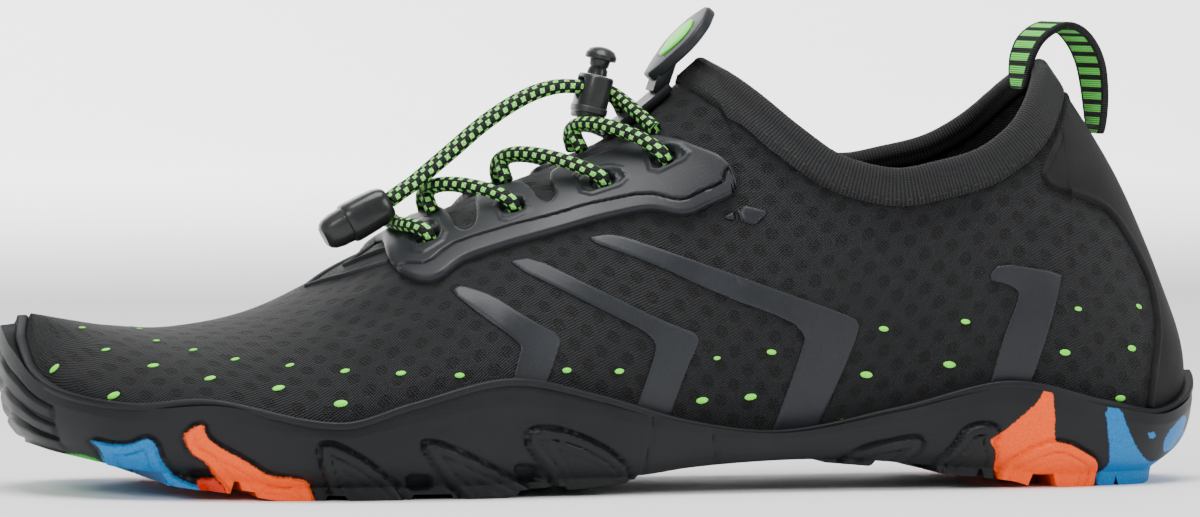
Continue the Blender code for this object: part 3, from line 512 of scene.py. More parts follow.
def fade(tree, value, low, high, start=0.0, end=1.0):
    """Smooth step of a value from one place to another."""
    made = tree.nodes.new("ShaderNodeMapRange")
    made.interpolation_type = "SMOOTHSTEP"
    tree.links.new(value, made.inputs["Value"])
    made.inputs["From Min"].default_value = low
    made.inputs["From Max"].default_value = high
    made.inputs["To Min"].default_value = start
    made.inputs["To Max"].default_value = end
    return made.outputs["Result"]


def blend(tree, share, first, second):
    """Colour mix: the first colour at 0 and the second at 1."""
    made = tree.nodes.new("ShaderNodeMix")
    made.data_type = "RGBA"
    for socket, value in ((made.inputs[0], share), (made.inputs[6], first), (made.inputs[7], second)):
        if isinstance(value, bpy.types.NodeSocket):
            tree.links.new(value, socket)
        elif isinstance(value, tuple):
            socket.default_value = (*value, 1.0)
        else:
            socket.default_value = value
    return made.outputs[2]


def uv_places(tree, scale=1000.0):
    """Along and across, in millimetres, from the piece's own UV map."""
    coordinates = tree.nodes.new("ShaderNodeUVMap")
    coordinates.uv_map = "UVMap"
    split = tree.nodes.new("ShaderNodeSeparateXYZ")
    tree.links.new(coordinates.outputs[0], split.inputs[0])
    return [product(tree, split.outputs[axis], scale) for axis in range(2)]


def noise(tree, scale, detail=2.0, roughness=0.5, vector=None):
    made = tree.nodes.new("ShaderNodeTexNoise")
    made.inputs["Scale"].default_value = scale
    made.inputs["Detail"].default_value = detail
    made.inputs["Roughness"].default_value = roughness
    if vector is None:
        coordinates = tree.nodes.new("ShaderNodeTexCoord")
        vector = coordinates.outputs["Object"]
    tree.links.new(vector, made.inputs["Vector"])
    return made.outputs["Fac"]


def dye(tree, shader, colour):
    tree.links.new(colour, shader.inputs["Base Color"])


def bump(tree, shader, height, distance, strength=1.0):
    made = tree.nodes.new("ShaderNodeBump")
    made.inputs["Strength"].default_value = strength
    made.inputs["Distance"].default_value = distance
    tree.links.new(height, made.inputs["Height"])
    tree.links.new(made.outputs[0], shader.inputs["Normal"])


def staggered(tree, u, v, pitch_u, pitch_v):
    """Distance to the nearest place of a staggered grid, in the units of u and v."""
    row = calc(tree, "DIVIDE", v, pitch_v)
    odd = calc(tree, "MODULO", calc(tree, "FLOOR", row), 2.0)
    half = product(tree, calc(tree, "ABSOLUTE", odd), 0.5)
    across = calc(tree, "FRACT", total(tree, calc(tree, "DIVIDE", u, pitch_u), half))
    up = calc(tree, "FRACT", row)
    sides = [
        product(tree, calc(tree, "SUBTRACT", share, 0.5), pitch)
        for share, pitch in ((across, pitch_u), (up, pitch_v))
    ]
    squares = [product(tree, side, side) for side in sides]
    return calc(tree, "SQRT", total(tree, *squares))


# %% [markdown]
# ## Stretch knit
# The upper is an air mesh: a fine ribbed ground with clusters of tiny holes in staggered rows. The
# pattern lies in the piece's UV map, which runs in metres along the shoe and up its side, so the rows
# follow the foot. The clusters are painted darker and their holes near black: painted shade.

# %% Knit
def knit_finish():
    material, tree, shader = new_material("black_knit", 0.62, 0.03, 0.22)
    u, v = uv_places(tree)
    wander = noise(tree, 900.0, 2.0)
    ribs = calc(tree, "SINE", total(tree, product(tree, u, 6.6), product(tree, v, 9.2)))
    knots = calc(tree, "SINE", calc(tree, "SUBTRACT", product(tree, v, 8.0), product(tree, u, 12.0)))
    shaded_cluster = fade(tree, staggered(tree, u, v, 6.4, 3.9), 1.75, 1.15)
    holes = fade(tree, staggered(tree, u, v, 0.84, 0.56), 0.34, 0.14)
    shaded_holes = product(tree, shaded_cluster, holes)
    weave = total(tree, product(tree, ribs, 0.5), product(tree, knots, 0.25))
    lit = fade(tree, total(tree, weave, wander), 0.1, 1.5)
    ground = blend(tree, lit, (0.0038, 0.0042, 0.0050), (0.0165, 0.0175, 0.0200))
    # The hole clusters are painted darker and their holes near black: painted shade in the knit's recesses.
    sunk = blend(tree, product(tree, shaded_cluster, 0.78), ground, (0.0025, 0.0026, 0.003))
    coloured = blend(tree, shaded_holes, sunk, (0.0012, 0.0012, 0.0014))
    dye(tree, shader, coloured)
    deep = total(tree, product(tree, shaded_holes, 1.6), product(tree, shaded_cluster, 0.5))
    height = calc(tree, "SUBTRACT", total(tree, weave, wander), deep)
    bump(tree, shader, height, 0.00026, 0.9)
    return material


knit = knit_finish()

# %% [markdown]
# ## Films, moulded plates and rubber
# The chevrons are thin welded films with a faint satin mottle. The eyestay and the lock are moulded
# plastic. The sole is rubber with areas of bright paint whose edges are ragged, so the paint's edge is
# the distance to a drawn outline with some noise added to it.

# %% Films and plastics
def mottled_finish(name, dark, light, roughness, grain, depth, coat=0.0):
    material, tree, shader = new_material(name, roughness, 0.0, 0.25)
    shader.inputs["Coat Weight"].default_value = coat
    large = noise(tree, 60.0, 4.0)
    fine = noise(tree, grain, 2.0)
    mixed = fade(tree, total(tree, product(tree, large, 0.7), product(tree, fine, 0.5)), 0.3, 0.9)
    dye(tree, shader, blend(tree, mixed, dark, light))
    rough = fade(tree, large, 0.3, 0.7, roughness - 0.06, roughness + 0.08)
    tree.links.new(rough, shader.inputs["Roughness"])
    bump(tree, shader, fine, depth, 0.6)
    return material


film = mottled_finish(
    "slate_film", (0.0125, 0.0140, 0.0170), (0.0200, 0.0222, 0.0265), 0.42, 1600.0, 0.00005
)
moulded = mottled_finish(
    "moulded_grey", (0.0110, 0.0122, 0.0145), (0.0170, 0.0187, 0.0220), 0.40, 2200.0, 0.00004
)
plastic = mottled_finish(
    "lock_plastic", (0.010, 0.0105, 0.011), (0.020, 0.021, 0.022), 0.34, 1800.0, 0.00004, 0.15
)


# %% Painted rubber
def rubber_finish():
    material, tree, shader = new_material("grey_rubber", 0.44, 0.0, 0.2)
    large = noise(tree, 45.0, 4.0)
    fine = noise(tree, 2600.0, 3.0)
    colour = blend(tree, fade(tree, large, 0.3, 0.7), (0.0060, 0.0068, 0.0078), (0.0105, 0.0117, 0.0132))
    ragged = product(tree, calc(tree, "SUBTRACT", noise(tree, 1500.0, 3.0, 0.7), 0.5), 0.0011)
    for name, dark, light in (
        ("paint_blue", (0.006, 0.13, 0.36), (0.012, 0.19, 0.46)),
        ("paint_orange", (0.80, 0.075, 0.003), (0.92, 0.110, 0.010)),
        ("paint_red", (0.45, 0.020, 0.003), (0.60, 0.035, 0.005)),
        ("paint_green", (0.01, 0.38, 0.02), (0.02, 0.50, 0.03)),
    ):
        inside = tree.nodes.new("ShaderNodeAttribute")
        inside.attribute_name = name
        edge = total(tree, inside.outputs["Fac"], ragged)
        share = fade(tree, edge, -0.00012, 0.00022)
        colour = blend(tree, share, colour, blend(tree, fade(tree, fine, 0.3, 0.7), dark, light))
    dye(tree, shader, colour)
    tree.links.new(fade(tree, large, 0.3, 0.7, 0.38, 0.52), shader.inputs["Roughness"])
    bump(tree, shader, fine, 0.00010, 0.5)
    return material


rubber = rubber_finish()

# %% [markdown]
# ## Textiles
# The collar tape is knitted in fine ribs across its width. The heel is a brushed cloth with a little
# lint. The loop is webbing with bright bars between dark edges, and the cord is braided with two rows
# of small bright checks that run round it.

# %% Tape, heel cloth and insole foam
def tape_finish():
    material, tree, shader = new_material("ribbed_tape", 0.75, 0.03, 0.2)
    u, v = uv_places(tree)
    ribs = calc(tree, "SINE", product(tree, u, 2 * math.pi / 0.75))
    loops = calc(tree, "SINE", product(tree, v, 2 * math.pi / 0.55))
    height = total(tree, ribs, product(tree, loops, 0.35))
    lit = fade(tree, total(tree, height, noise(tree, 700.0)), -0.6, 1.8)
    dye(tree, shader, blend(tree, lit, (0.0045, 0.0046, 0.005), (0.020, 0.0205, 0.022)))
    bump(tree, shader, height, 0.00012, 0.8)
    return material


def cloth_finish(name, dark, light, sheen, lint):
    material, tree, shader = new_material(name, 0.82, sheen, 0.2)
    fine = noise(tree, 2400.0, 3.0, 0.7)
    large = noise(tree, 90.0, 3.0)
    colour = blend(tree, fade(tree, total(tree, fine, large), 0.7, 1.3), dark, light)
    fluff = fade(tree, noise(tree, 1100.0, 4.0, 0.75), 0.72, 0.80)
    colour = blend(tree, product(tree, fluff, lint), colour, (0.20, 0.20, 0.20))
    dye(tree, shader, colour)
    bump(tree, shader, fine, 0.00010, 0.7)
    return material


tape = tape_finish()
suede = cloth_finish("heel_suede", (0.0035, 0.0036, 0.004), (0.011, 0.0112, 0.012), 0.03, 0.2)
foam = cloth_finish("insole_foam", (0.010, 0.010, 0.011), (0.024, 0.024, 0.026), 0.02, 0.1)


# %% Webbing and cord
def webbing_finish():
    material, tree, shader = new_material("green_webbing", 0.7, 0.0, 0.2)
    u, v = uv_places(tree)
    bars = from_middle(tree, calc(tree, "DIVIDE", u, 2.9))
    middle = calc(tree, "ABSOLUTE", v)
    bar = product(tree, fade(tree, bars, 0.31, 0.27), fade(tree, middle, 4.0, 3.7))
    threads = calc(tree, "SINE", product(tree, u, 2 * math.pi / 0.48))
    ends = calc(tree, "SINE", product(tree, v, 2 * math.pi / 0.62))
    weave = total(tree, threads, product(tree, ends, 0.6))
    # Thread crests are painted lighter in both the green and the black: painted highlight.
    green = blend(tree, fade(tree, weave, -1.2, 1.4), (0.07, 0.55, 0.05), (0.22, 0.90, 0.16))
    black = blend(tree, fade(tree, weave, -1.2, 1.4), (0.003, 0.003, 0.0035), (0.016, 0.016, 0.018))
    dye(tree, shader, blend(tree, bar, black, green))
    bump(tree, shader, weave, 0.00012, 0.8)
    return material


def cord_finish():
    material, tree, shader = new_material("checked_cord", 0.6, 0.0, 0.2)
    u, v = uv_places(tree, 1.0)
    along_mm = product(tree, u, 1000.0)
    rows = product(tree, v, 6.0)
    odd = product(tree, calc(tree, "MODULO", calc(tree, "FLOOR", rows), 2.0), 0.5)
    lean = product(tree, calc(tree, "FRACT", rows), 0.10)
    place = total(tree, total(tree, calc(tree, "DIVIDE", along_mm, 2.5), odd), lean)
    check = fade(tree, from_middle(tree, place), 0.245, 0.205)
    strip = fade(tree, from_middle(tree, rows), 0.38, 0.32)
    braid = staggered(tree, along_mm, product(tree, v, 10.0), 0.9, 0.55)
    lit = fade(tree, braid, 0.45, 0.10)
    green = blend(tree, lit, (0.10, 0.60, 0.05), (0.40, 0.95, 0.25))
    black = blend(tree, lit, (0.0025, 0.0025, 0.003), (0.014, 0.014, 0.015))
    coloured = blend(tree, product(tree, check, strip), black, green)
    dye(tree, shader, coloured)
    bump(tree, shader, lit, 0.00016, 0.8)
    return material


webbing = webbing_finish()
checked = cord_finish()


def plain_finish(name, colour, roughness):
    material, tree, shader = new_material(name, roughness)
    grain = fade(tree, noise(tree, 1800.0, 2.0), 0.2, 0.8)
    dark = tuple(0.82 * value for value in colour)
    dye(tree, shader, blend(tree, grain, dark, colour))
    bump(tree, shader, grain, 0.00003, 0.4)
    return material


print_green = plain_finish("print_green", (0.20, 0.95, 0.06), 0.6)
bright_green = plain_finish("tab_green", (0.13, 0.92, 0.06), 0.4)
thread = plain_finish("black_thread", (0.010, 0.010, 0.011), 0.6)
lighter_plastic = plain_finish("lock_ring_grey", (0.030, 0.031, 0.033), 0.35)
print(len(bpy.data.materials), "finishes")

# %% [markdown]
# ## The upper's surface
# Half a section of the upper is one cubic curve from the feather edge, where it meets the sole, to the
# ridge. Close sections all the way round give a dense sheet, and that sheet is what every overlay is
# cut from, so nothing floats and nothing dips in.

# %% Upper sheet
SECTIONS = 230
ROWS_LOW = 10
ROWS_HIGH = 78


def ring(turns):
    """Turn and side of each station all the way round, outer side first, then the inner side back."""
    outer = [(turned, -1) for turned in turns]
    inner = [(turned, 1) for turned in reversed(turns[1:-1])]
    return outer + inner


def upper_columns(turns):
    """Dense columns of the upper's outer face, with how far up each point lies."""
    columns = []
    girths = []
    for turned, side in ring(turns):
        points = arch_points(turned, side)
        rim = part_at_height(points, rim_height(turned, side))
        top = 1.0
        if COLLAR_BACK < turned < COLLAR_FRONT:
            top = part_at_height(points, collar_height(turned, side))
        parts = np.concatenate(
            [np.linspace(0, rim, ROWS_LOW, endpoint=False), np.linspace(rim, top, ROWS_HIGH + 1)]
        )
        rest = 1 - parts
        shares = np.stack([rest**3, 3 * rest**2 * parts, 3 * rest * parts**2, parts**3], axis=1)
        column = shares @ np.array([tuple(point) for point in points])
        steps = np.linalg.norm(np.diff(column, axis=0), axis=1)
        run = np.concatenate([[0.0], np.cumsum(steps)])
        columns.append(column)
        girths.append(run - run[ROWS_LOW])
    return np.array(columns), np.array(girths)


def dense_turns(count):
    """Turns from heel to toe, evenly spread, with the two ends of the collar among them."""
    spread = np.linspace(0.0, 1.0, count)
    for end in (COLLAR_BACK, COLLAR_FRONT):
        spread[np.abs(spread - end).argmin()] = end
    return [float(value) for value in spread]


columns, girths = upper_columns(dense_turns(SECTIONS))
ring_size, row_count = columns.shape[:2]
raw_points = columns.reshape(-1, 3)
raw_faces = grid_faces(ring_size, row_count, True)
first_of, upper_faces = weld(raw_points, raw_faces)
upper_points = raw_points[first_of]
upper_normals = sheet_normals(upper_points, upper_faces)
upper_girth = girths.reshape(-1)[first_of]
outward_share = float(np.mean(np.sum(upper_normals * (upper_points - [0, 0, 0.03]), axis=1) > 0))
print("upper sheet:", len(upper_points), "points, faces out", round(outward_share, 2))

# %% [markdown]
# ## Side view places
# Overlays are drawn in side view, as a pattern cutter would, in shares of the shoe's length and of its
# instep height. A signed distance to such an outline, positive inside, does all the work: it cuts the
# sheet at zero, and it gives the rounded edge of a film or a moulded plate.

# %% Distances to outlines
def flat(points):
    """Places in side view, in metres."""
    points = np.asarray(points)
    return points[:, [0, 2]]


def cut_corners(shape, rounds):
    """A closed outline whose corners are cut off, again and again, until they are round."""
    for _ in range(rounds):
        after = np.roll(shape, -1, axis=0)
        shape = np.stack([0.8 * shape + 0.2 * after, 0.2 * shape + 0.8 * after], axis=1).reshape(-1, 2)
    return shape


def drawn(outline, rounds=2):
    """An outline of shares as places in metres in side view, with rounded corners."""
    shape = np.array([(LENGTH * (0.5 - one), INSTEP_HEIGHT * up) for one, up in outline])
    return cut_corners(shape, rounds)


def line_distance(places, line):
    """Distance from each place to the nearest point of an open line."""
    best = np.full(len(places), 1e9)
    for start, end in zip(line[:-1], line[1:]):
        run = end - start
        share = np.clip(((places - start) @ run) / max(run @ run, 1e-18), 0, 1)
        best = np.minimum(best, np.linalg.norm(places - start - share[:, None] * run, axis=1))
    return best


def inside_distance(places, outline):
    """Signed distance to a closed outline, positive inside."""
    closed = np.vstack([outline, outline[:1]])
    distance = line_distance(places, closed)
    inside = np.zeros(len(places), bool)
    for start, end in zip(closed[:-1], closed[1:]):
        spans = (start[1] > places[:, 1]) != (end[1] > places[:, 1])
        rise = end[1] - start[1]
        cross = start[0] + (places[:, 1] - start[1]) * (end[0] - start[0]) / (rise if rise else 1e-18)
        inside ^= spans & (places[:, 0] < cross)
    return np.where(inside, distance, -distance)


# %% Cutting the sheet
def cut_sheet(points, faces, field, carried):
    """The part of a sheet where a field is positive, cut through its faces; carried arrays go along."""
    usable = [face for face in faces if max(field[corner] for corner in face) > 0]
    keep = {}
    rows = []
    whole = np.hstack([points, field[:, None], carried])
    made = []

    def corner_at(index):
        if index not in keep:
            keep[index] = len(rows)
            rows.append(whole[index])
        return keep[index]

    def crossing_at(first, second):
        key = (min(first, second), max(first, second), True)
        if key not in keep:
            share = field[first] / (field[first] - field[second])
            keep[key] = len(rows)
            row = whole[first] * (1 - share) + whole[second] * share
            row[3] = 0.0
            rows.append(row)
        return keep[key]

    for face in usable:
        shape = []
        for first, second in zip(face, list(face[1:]) + [face[0]]):
            if field[first] > 0:
                shape.append(corner_at(first))
            if (field[first] > 0) != (field[second] > 0):
                shape.append(crossing_at(first, second))
        if len(shape) > 2:
            made.append(shape)
    rows = np.array(rows)
    return rows[:, :3], made, rows[:, 3], rows[:, 4:]


def finer(used, times):
    """The used faces of the upper's sheet, each split into a grid: points, faces, normals and girth."""
    whole = np.hstack([upper_points, upper_normals, upper_girth[:, None]])
    corners = np.array([list(face) + [face[-1]] * (4 - len(face)) for face in used])
    steps = np.arange(times + 1) / times
    across, up = [grid.ravel()[None, :, None] for grid in np.meshgrid(steps, steps)]
    first, second, third, fourth = [whole[corners[:, number]][:, None, :] for number in range(4)]
    near = first + across * (second - first) + up * (third - second)
    far = first + up * (fourth - first) + across * (third - fourth)
    rows = np.where(across >= up, near, far)
    rows = rows.reshape(-1, whole.shape[1])
    keys = np.round(rows[:, :3] / 1e-8).astype(np.int64)
    _, kept, same = np.unique(keys, axis=0, return_index=True, return_inverse=True)
    same = same.reshape(len(used), times + 1, times + 1)
    four = [same[:, :-1, :-1], same[:, :-1, 1:], same[:, 1:, 1:], same[:, 1:, :-1]]
    quads = np.stack(four, axis=-1).reshape(-1, 4)
    faces = []
    for quad in quads.tolist():
        shape = [corner for number, corner in enumerate(quad) if corner != quad[number - 1]]
        if len(shape) > 2:
            faces.append(shape)
    rows = rows[kept]
    return rows[:, :3], faces, rows[:, 3:6], rows[:, 6]


def raised(name, field_of, rise, material, times=2, low=0.0, sharp=50.0):
    """A piece that lies on the upper: cut out where the field is positive, as high as rise gives."""
    field = field_of(upper_points)
    used = [face for face in upper_faces if max(field[corner] for corner in face) > -0.0015]
    points, faces, normals, girth = finer(used, times)
    carried = np.hstack([normals, girth[:, None]])
    cut, kept, depth, rest = cut_sheet(points, faces, field_of(points), carried)
    away = rest[:, :3] / np.linalg.norm(rest[:, :3], axis=1, keepdims=True)
    height = rise(cut, depth)
    top = cut + away * height[:, None]
    bottom = cut + away * low
    solid, around = closed_sheet(top, bottom, kept)
    made = piece(name, solid, around, material, sharp)
    places = np.stack([-cut[:, 0], rest[:, 3]], axis=1)
    give_uv(made, np.vstack([places, places]))
    return made


def soft(value, width):
    """Smooth step from 0 to 1 over a width."""
    share = np.clip(value / width, 0, 1)
    return share * share * (3 - 2 * share)


def rounded(depth, thickness, radius):
    """Height of a sheet with a rounded edge, from the distance to that edge."""
    share = np.clip(depth / radius, 0, 1)
    return thickness * (0.35 + 0.65 * np.sqrt(1 - (1 - share) ** 2))

# %% [markdown]
# ## Creases
# The knit gives a little where the shoe bends and under the collar. Each crease is a soft trough with
# a low ridge beside it, and what lies on the sheet follows it.

# %% Creases
# Both ends as places along and instep heights, depth, and half width
CREASES = (
    ((0.735, 0.400), (0.668, 0.462), 0.00045, 0.0026),
    ((0.712, 0.330), (0.640, 0.410), 0.00040, 0.0030),
    ((0.405, 0.920), (0.352, 0.790), 0.00045, 0.0022),
    ((0.432, 0.860), (0.372, 0.730), 0.00040, 0.0024),
    ((0.300, 0.600), (0.215, 0.665), 0.00040, 0.0028),
    ((0.165, 0.600), (0.105, 0.560), 0.00035, 0.0024),
)


def crease_depth(points):
    places = flat(points)
    sunk = np.zeros(len(points))
    for start, end, depth, half in CREASES:
        line = np.array([(LENGTH * (0.5 - one), INSTEP_HEIGHT * up) for one, up in (start, end)])
        away = line_distance(places, line) / half
        sunk -= depth * (np.exp(-(away**2)) - 0.5 * np.exp(-((away - 1.9) ** 2)))
    return sunk


upper_points = upper_points + upper_normals * crease_depth(upper_points)[:, None]

# %% [markdown]
# ## Upper
# The sheet gets its inner face two millimetres further in, so it is a real wall with an open collar,
# and it is dark inside the mouth as on the real shoe.

# %% Upper wall
def build_upper():
    inner = upper_points - upper_normals * UPPER_WALL
    halves = [half for face in upper_faces for half in (face[:3], face[:1] + face[2:]) if len(half) > 2]
    solid, around = closed_sheet(upper_points, inner, halves)
    upper = piece("upper_knit", solid, around, knit, 60.0)
    places = np.stack([-upper_points[:, 0], upper_girth], axis=1)
    give_uv(upper, np.vstack([places, places]))
    return upper


upper = build_upper()
surface = BVHTree.FromPolygons([tuple(point) for point in upper_points], upper_faces)
print("upper", len(upper.data.polygons), "faces")

# %% [markdown]
# ## Films on the sides
# Three chevrons, a bar near the heel and a small sliver at the ankle are cut from one film each and
# welded on. Their edges are soft, because the weld presses them into the knit.

# %% Overlay outlines
# Overlays in side view: places along the length, and heights in instep heights
FRONT_CHEVRON = (
    (0.655, 0.478), (0.646, 0.494), (0.622, 0.470), (0.595, 0.417), (0.568, 0.375), (0.573, 0.336),
    (0.594, 0.200), (0.619, 0.200), (0.607, 0.324), (0.603, 0.353), (0.609, 0.372), (0.634, 0.426),
)
MIDDLE_CHEVRON = (
    (0.607, 0.543), (0.584, 0.555), (0.533, 0.480), (0.479, 0.406), (0.452, 0.377), (0.449, 0.360),
    (0.461, 0.291), (0.482, 0.120), (0.515, 0.120), (0.488, 0.326), (0.487, 0.359), (0.499, 0.388),
    (0.533, 0.436),
)
BACK_CHEVRON = (
    (0.541, 0.597), (0.514, 0.608), (0.475, 0.570), (0.379, 0.473), (0.327, 0.420), (0.311, 0.399),
    (0.316, 0.346), (0.354, 0.090), (0.390, 0.090), (0.361, 0.336), (0.358, 0.366), (0.370, 0.402),
    (0.433, 0.469), (0.487, 0.541),
)
HEEL_BAR = (
    (0.203, 0.495), (0.193, 0.533), (0.138, 0.508), (0.140, 0.480), (0.149, 0.389), (0.171, 0.200),
    (0.204, 0.200), (0.191, 0.349), (0.178, 0.438), (0.176, 0.464), (0.183, 0.480),
)
ANKLE_FILM = ((0.424, 0.644), (0.405, 0.671), (0.386, 0.657), (0.398, 0.628))
EYESTAY = (
    (0.690, 0.561), (0.692, 0.531), (0.687, 0.508), (0.679, 0.494), (0.667, 0.494), (0.656, 0.508),
    (0.646, 0.528), (0.637, 0.543), (0.623, 0.557), (0.592, 0.583), (0.557, 0.608), (0.526, 0.633),
    (0.491, 0.655), (0.479, 0.657), (0.467, 0.649), (0.458, 0.645), (0.448, 0.650), (0.436, 0.667),
    (0.421, 0.685), (0.412, 0.699), (0.409, 0.727), (0.413, 0.759), (0.421, 0.786), (0.436, 0.803),
    (0.448, 0.818), (0.464, 0.826), (0.472, 0.824), (0.492, 0.799), (0.519, 0.770), (0.539, 0.751),
    (0.551, 0.735), (0.554, 0.717), (0.554, 0.685), (0.561, 0.668), (0.567, 0.674), (0.570, 0.700),
    (0.574, 0.714), (0.590, 0.704), (0.609, 0.684), (0.613, 0.672), (0.619, 0.632), (0.624, 0.612),
    (0.631, 0.603), (0.635, 0.609), (0.635, 0.632), (0.637, 0.655), (0.645, 0.660), (0.660, 0.650),
    (0.678, 0.615),
)
EYELETS = table("along height", (0.658, 0.589), (0.589, 0.659), (0.515, 0.719), (0.464, 0.775))
HEEL_SEAM = (
    (0.154, 0.745), (0.146, 0.703), (0.120, 0.682), (0.094, 0.655), (0.080, 0.618), (0.064, 0.547),
    (0.053, 0.481), (0.050, 0.442), (0.048, 0.374), (0.050, 0.337), (0.055, 0.262), (0.058, 0.150),
    (-0.050, 0.150), (-0.050, 0.920), (0.102, 0.930), (0.128, 0.840),
)

# %% Cut the films
FILM_RISE = 0.00030
FILM_EDGE = 0.00035


def side_field(points, shape, side):
    distance = inside_distance(flat(points), shape)
    return np.where(points[:, 1] * side > 0, distance, -np.abs(distance) - MM)


def build_film(name, outline, side):
    shape = drawn(outline, 0 if len(outline) < 5 else 1)

    def field_of(points):
        return side_field(points, shape, side)

    def rise(points, depth):
        return GAP * 0.5 + rounded(depth, FILM_RISE, FILM_EDGE)

    return raised(name, field_of, rise, film, 3)


FILMS = {
    "front_chevron": FRONT_CHEVRON,
    "middle_chevron": MIDDLE_CHEVRON,
    "back_chevron": BACK_CHEVRON,
    "heel_bar": HEEL_BAR,
    "ankle_film": ANKLE_FILM,
}
films = {}
for name, outline in FILMS.items():
    for word, side in (("outer", -1), ("inner", 1)):
        films[f"{name}_{word}"] = build_film(f"{name}_{word}_film", outline, side)
print(len(films), "films")

# %% [markdown]
# ## Eyestays
# Each eyestay is one moulded strip with four plates. A square seat is sunk round every eyelet, a groove
# follows the lower edge, and the outer rim stands proud, which is what makes it read as moulded and
# not as cut cloth. All of that is height over the same sheet.

# %% Build the eyestays
STAY_RISE = 0.0020
EYELET_RADIUS = 0.0026
SEATS = (
    ((0.675, 0.590), (0.647, 0.633), (0.644, 0.585), (0.672, 0.540)),
    ((0.603, 0.662), (0.580, 0.685), (0.575, 0.645), (0.602, 0.614)),
    ((0.536, 0.736), (0.498, 0.754), (0.494, 0.712), (0.534, 0.674)),
    ((0.478, 0.797), (0.453, 0.810), (0.441, 0.776), (0.477, 0.727)),
)


def eyelet_points(side):
    """Centre of each eyelet on the sheet, and which way is out there."""
    found = []
    for one, up in zip(EYELETS["along"], EYELETS["height"]):
        start = Vector((LENGTH * (0.5 - one), side * 0.2, INSTEP_HEIGHT * up))
        spot, away, _, _ = surface.ray_cast(start, Vector((0, -side, 0)))
        found.append((spot, away if away.dot(spot - Vector((spot.x, 0, 0.02))) > 0 else -away))
    return found


def build_eyestay(word, side):
    outline = drawn(EYESTAY)
    holes = [np.array(spot) for spot, _ in eyelet_points(side)]
    lower = drawn(EYESTAY[3:21], 0)
    seats = [drawn(seat, 1) for seat in SEATS]

    def field_of(points):
        field = side_field(points, outline, side)
        for spot in holes:
            field = np.minimum(field, np.linalg.norm(points - spot, axis=1) - EYELET_RADIUS)
        return field

    def rise(points, depth):
        height = GAP * 0.5 + rounded(depth, STAY_RISE, 0.0006)
        places = flat(points)
        lip = line_distance(places, lower)
        height -= 0.0009 * soft(0.0004 - np.abs(lip - 0.0031), 0.0003)
        height -= 0.0003 * soft(lip - 0.0029, 0.0003)
        for seat in seats:
            inside = inside_distance(places, seat)
            height += 0.0003 * soft(inside + 0.0002, 0.0003)
            height -= 0.0006 * soft(inside - 0.0007, 0.0003)
        return np.maximum(height, 0.0005)

    return raised(f"eyestay_{word}_plate", field_of, rise, moulded, 4)


stays = {word: build_eyestay(word, side) for word, side in (("outer", -1), ("inner", 1))}
print("eyestays", {word: len(stay.data.polygons) for word, stay in stays.items()})

# %% [markdown]
# ## Heel panel
# A smooth panel wraps the back of the heel. Its front edge is a piped seam, which is a low round ridge
# just inside the cut edge.

# %% Build the heel panel
def build_heel_panel():
    shape = drawn([(one, up + 0.04 if up > 0.9 else up) for one, up in HEEL_SEAM])

    def field_of(points):
        return inside_distance(flat(points), shape)

    def rise(points, depth):
        piping = np.sqrt(np.clip(1 - ((depth - 0.0007) / 0.0007) ** 2, 0, 1))
        return GAP * 0.5 + rounded(depth, 0.0006, 0.0005) + 0.0004 * piping

    return raised("heel_panel_cloth", field_of, rise, suede, 3)


heel_panel = build_heel_panel()

# %% [markdown]
# ## Collar tape
# A ribbed tape is folded over the collar's edge. Its section is a thin hook: down the outside along
# the knit, round over the edge, and a little way down the inside.

# %% Build the collar tape
TAPE_WIDTH = 0.0076
TAPE_INSIDE = 0.0040
TAPE_THICKNESS = 0.0014


def collar_edge():
    """Points of the collar's edge all the way round, with the way out and the way down at each."""
    turns = [one for one in dense_turns(SECTIONS) if COLLAR_BACK <= one <= COLLAR_FRONT]
    spots = []
    for turned, side in ring(turns):
        points = arch_points(turned, side)
        top = 1.0
        if COLLAR_BACK < turned < COLLAR_FRONT:
            top = part_at_height(points, collar_height(turned, side))
        spots.append(on_arch(points, top))
    frames = []
    for number, spot in enumerate(spots):
        ahead = (spots[(number + 1) % len(spots)] - spots[number - 1]).normalized()
        _, away, _, _ = surface.find_nearest(spot)
        away = away if away.dot(Vector((0, spot.y, 0.02))) > 0 else -away
        down = away.cross(ahead).normalized()
        down = down if down.z < 0 else -down
        out = ahead.cross(down).normalized()
        out = out if out.dot(away) > 0 else -out
        frames.append((spot, out, down))
    return frames


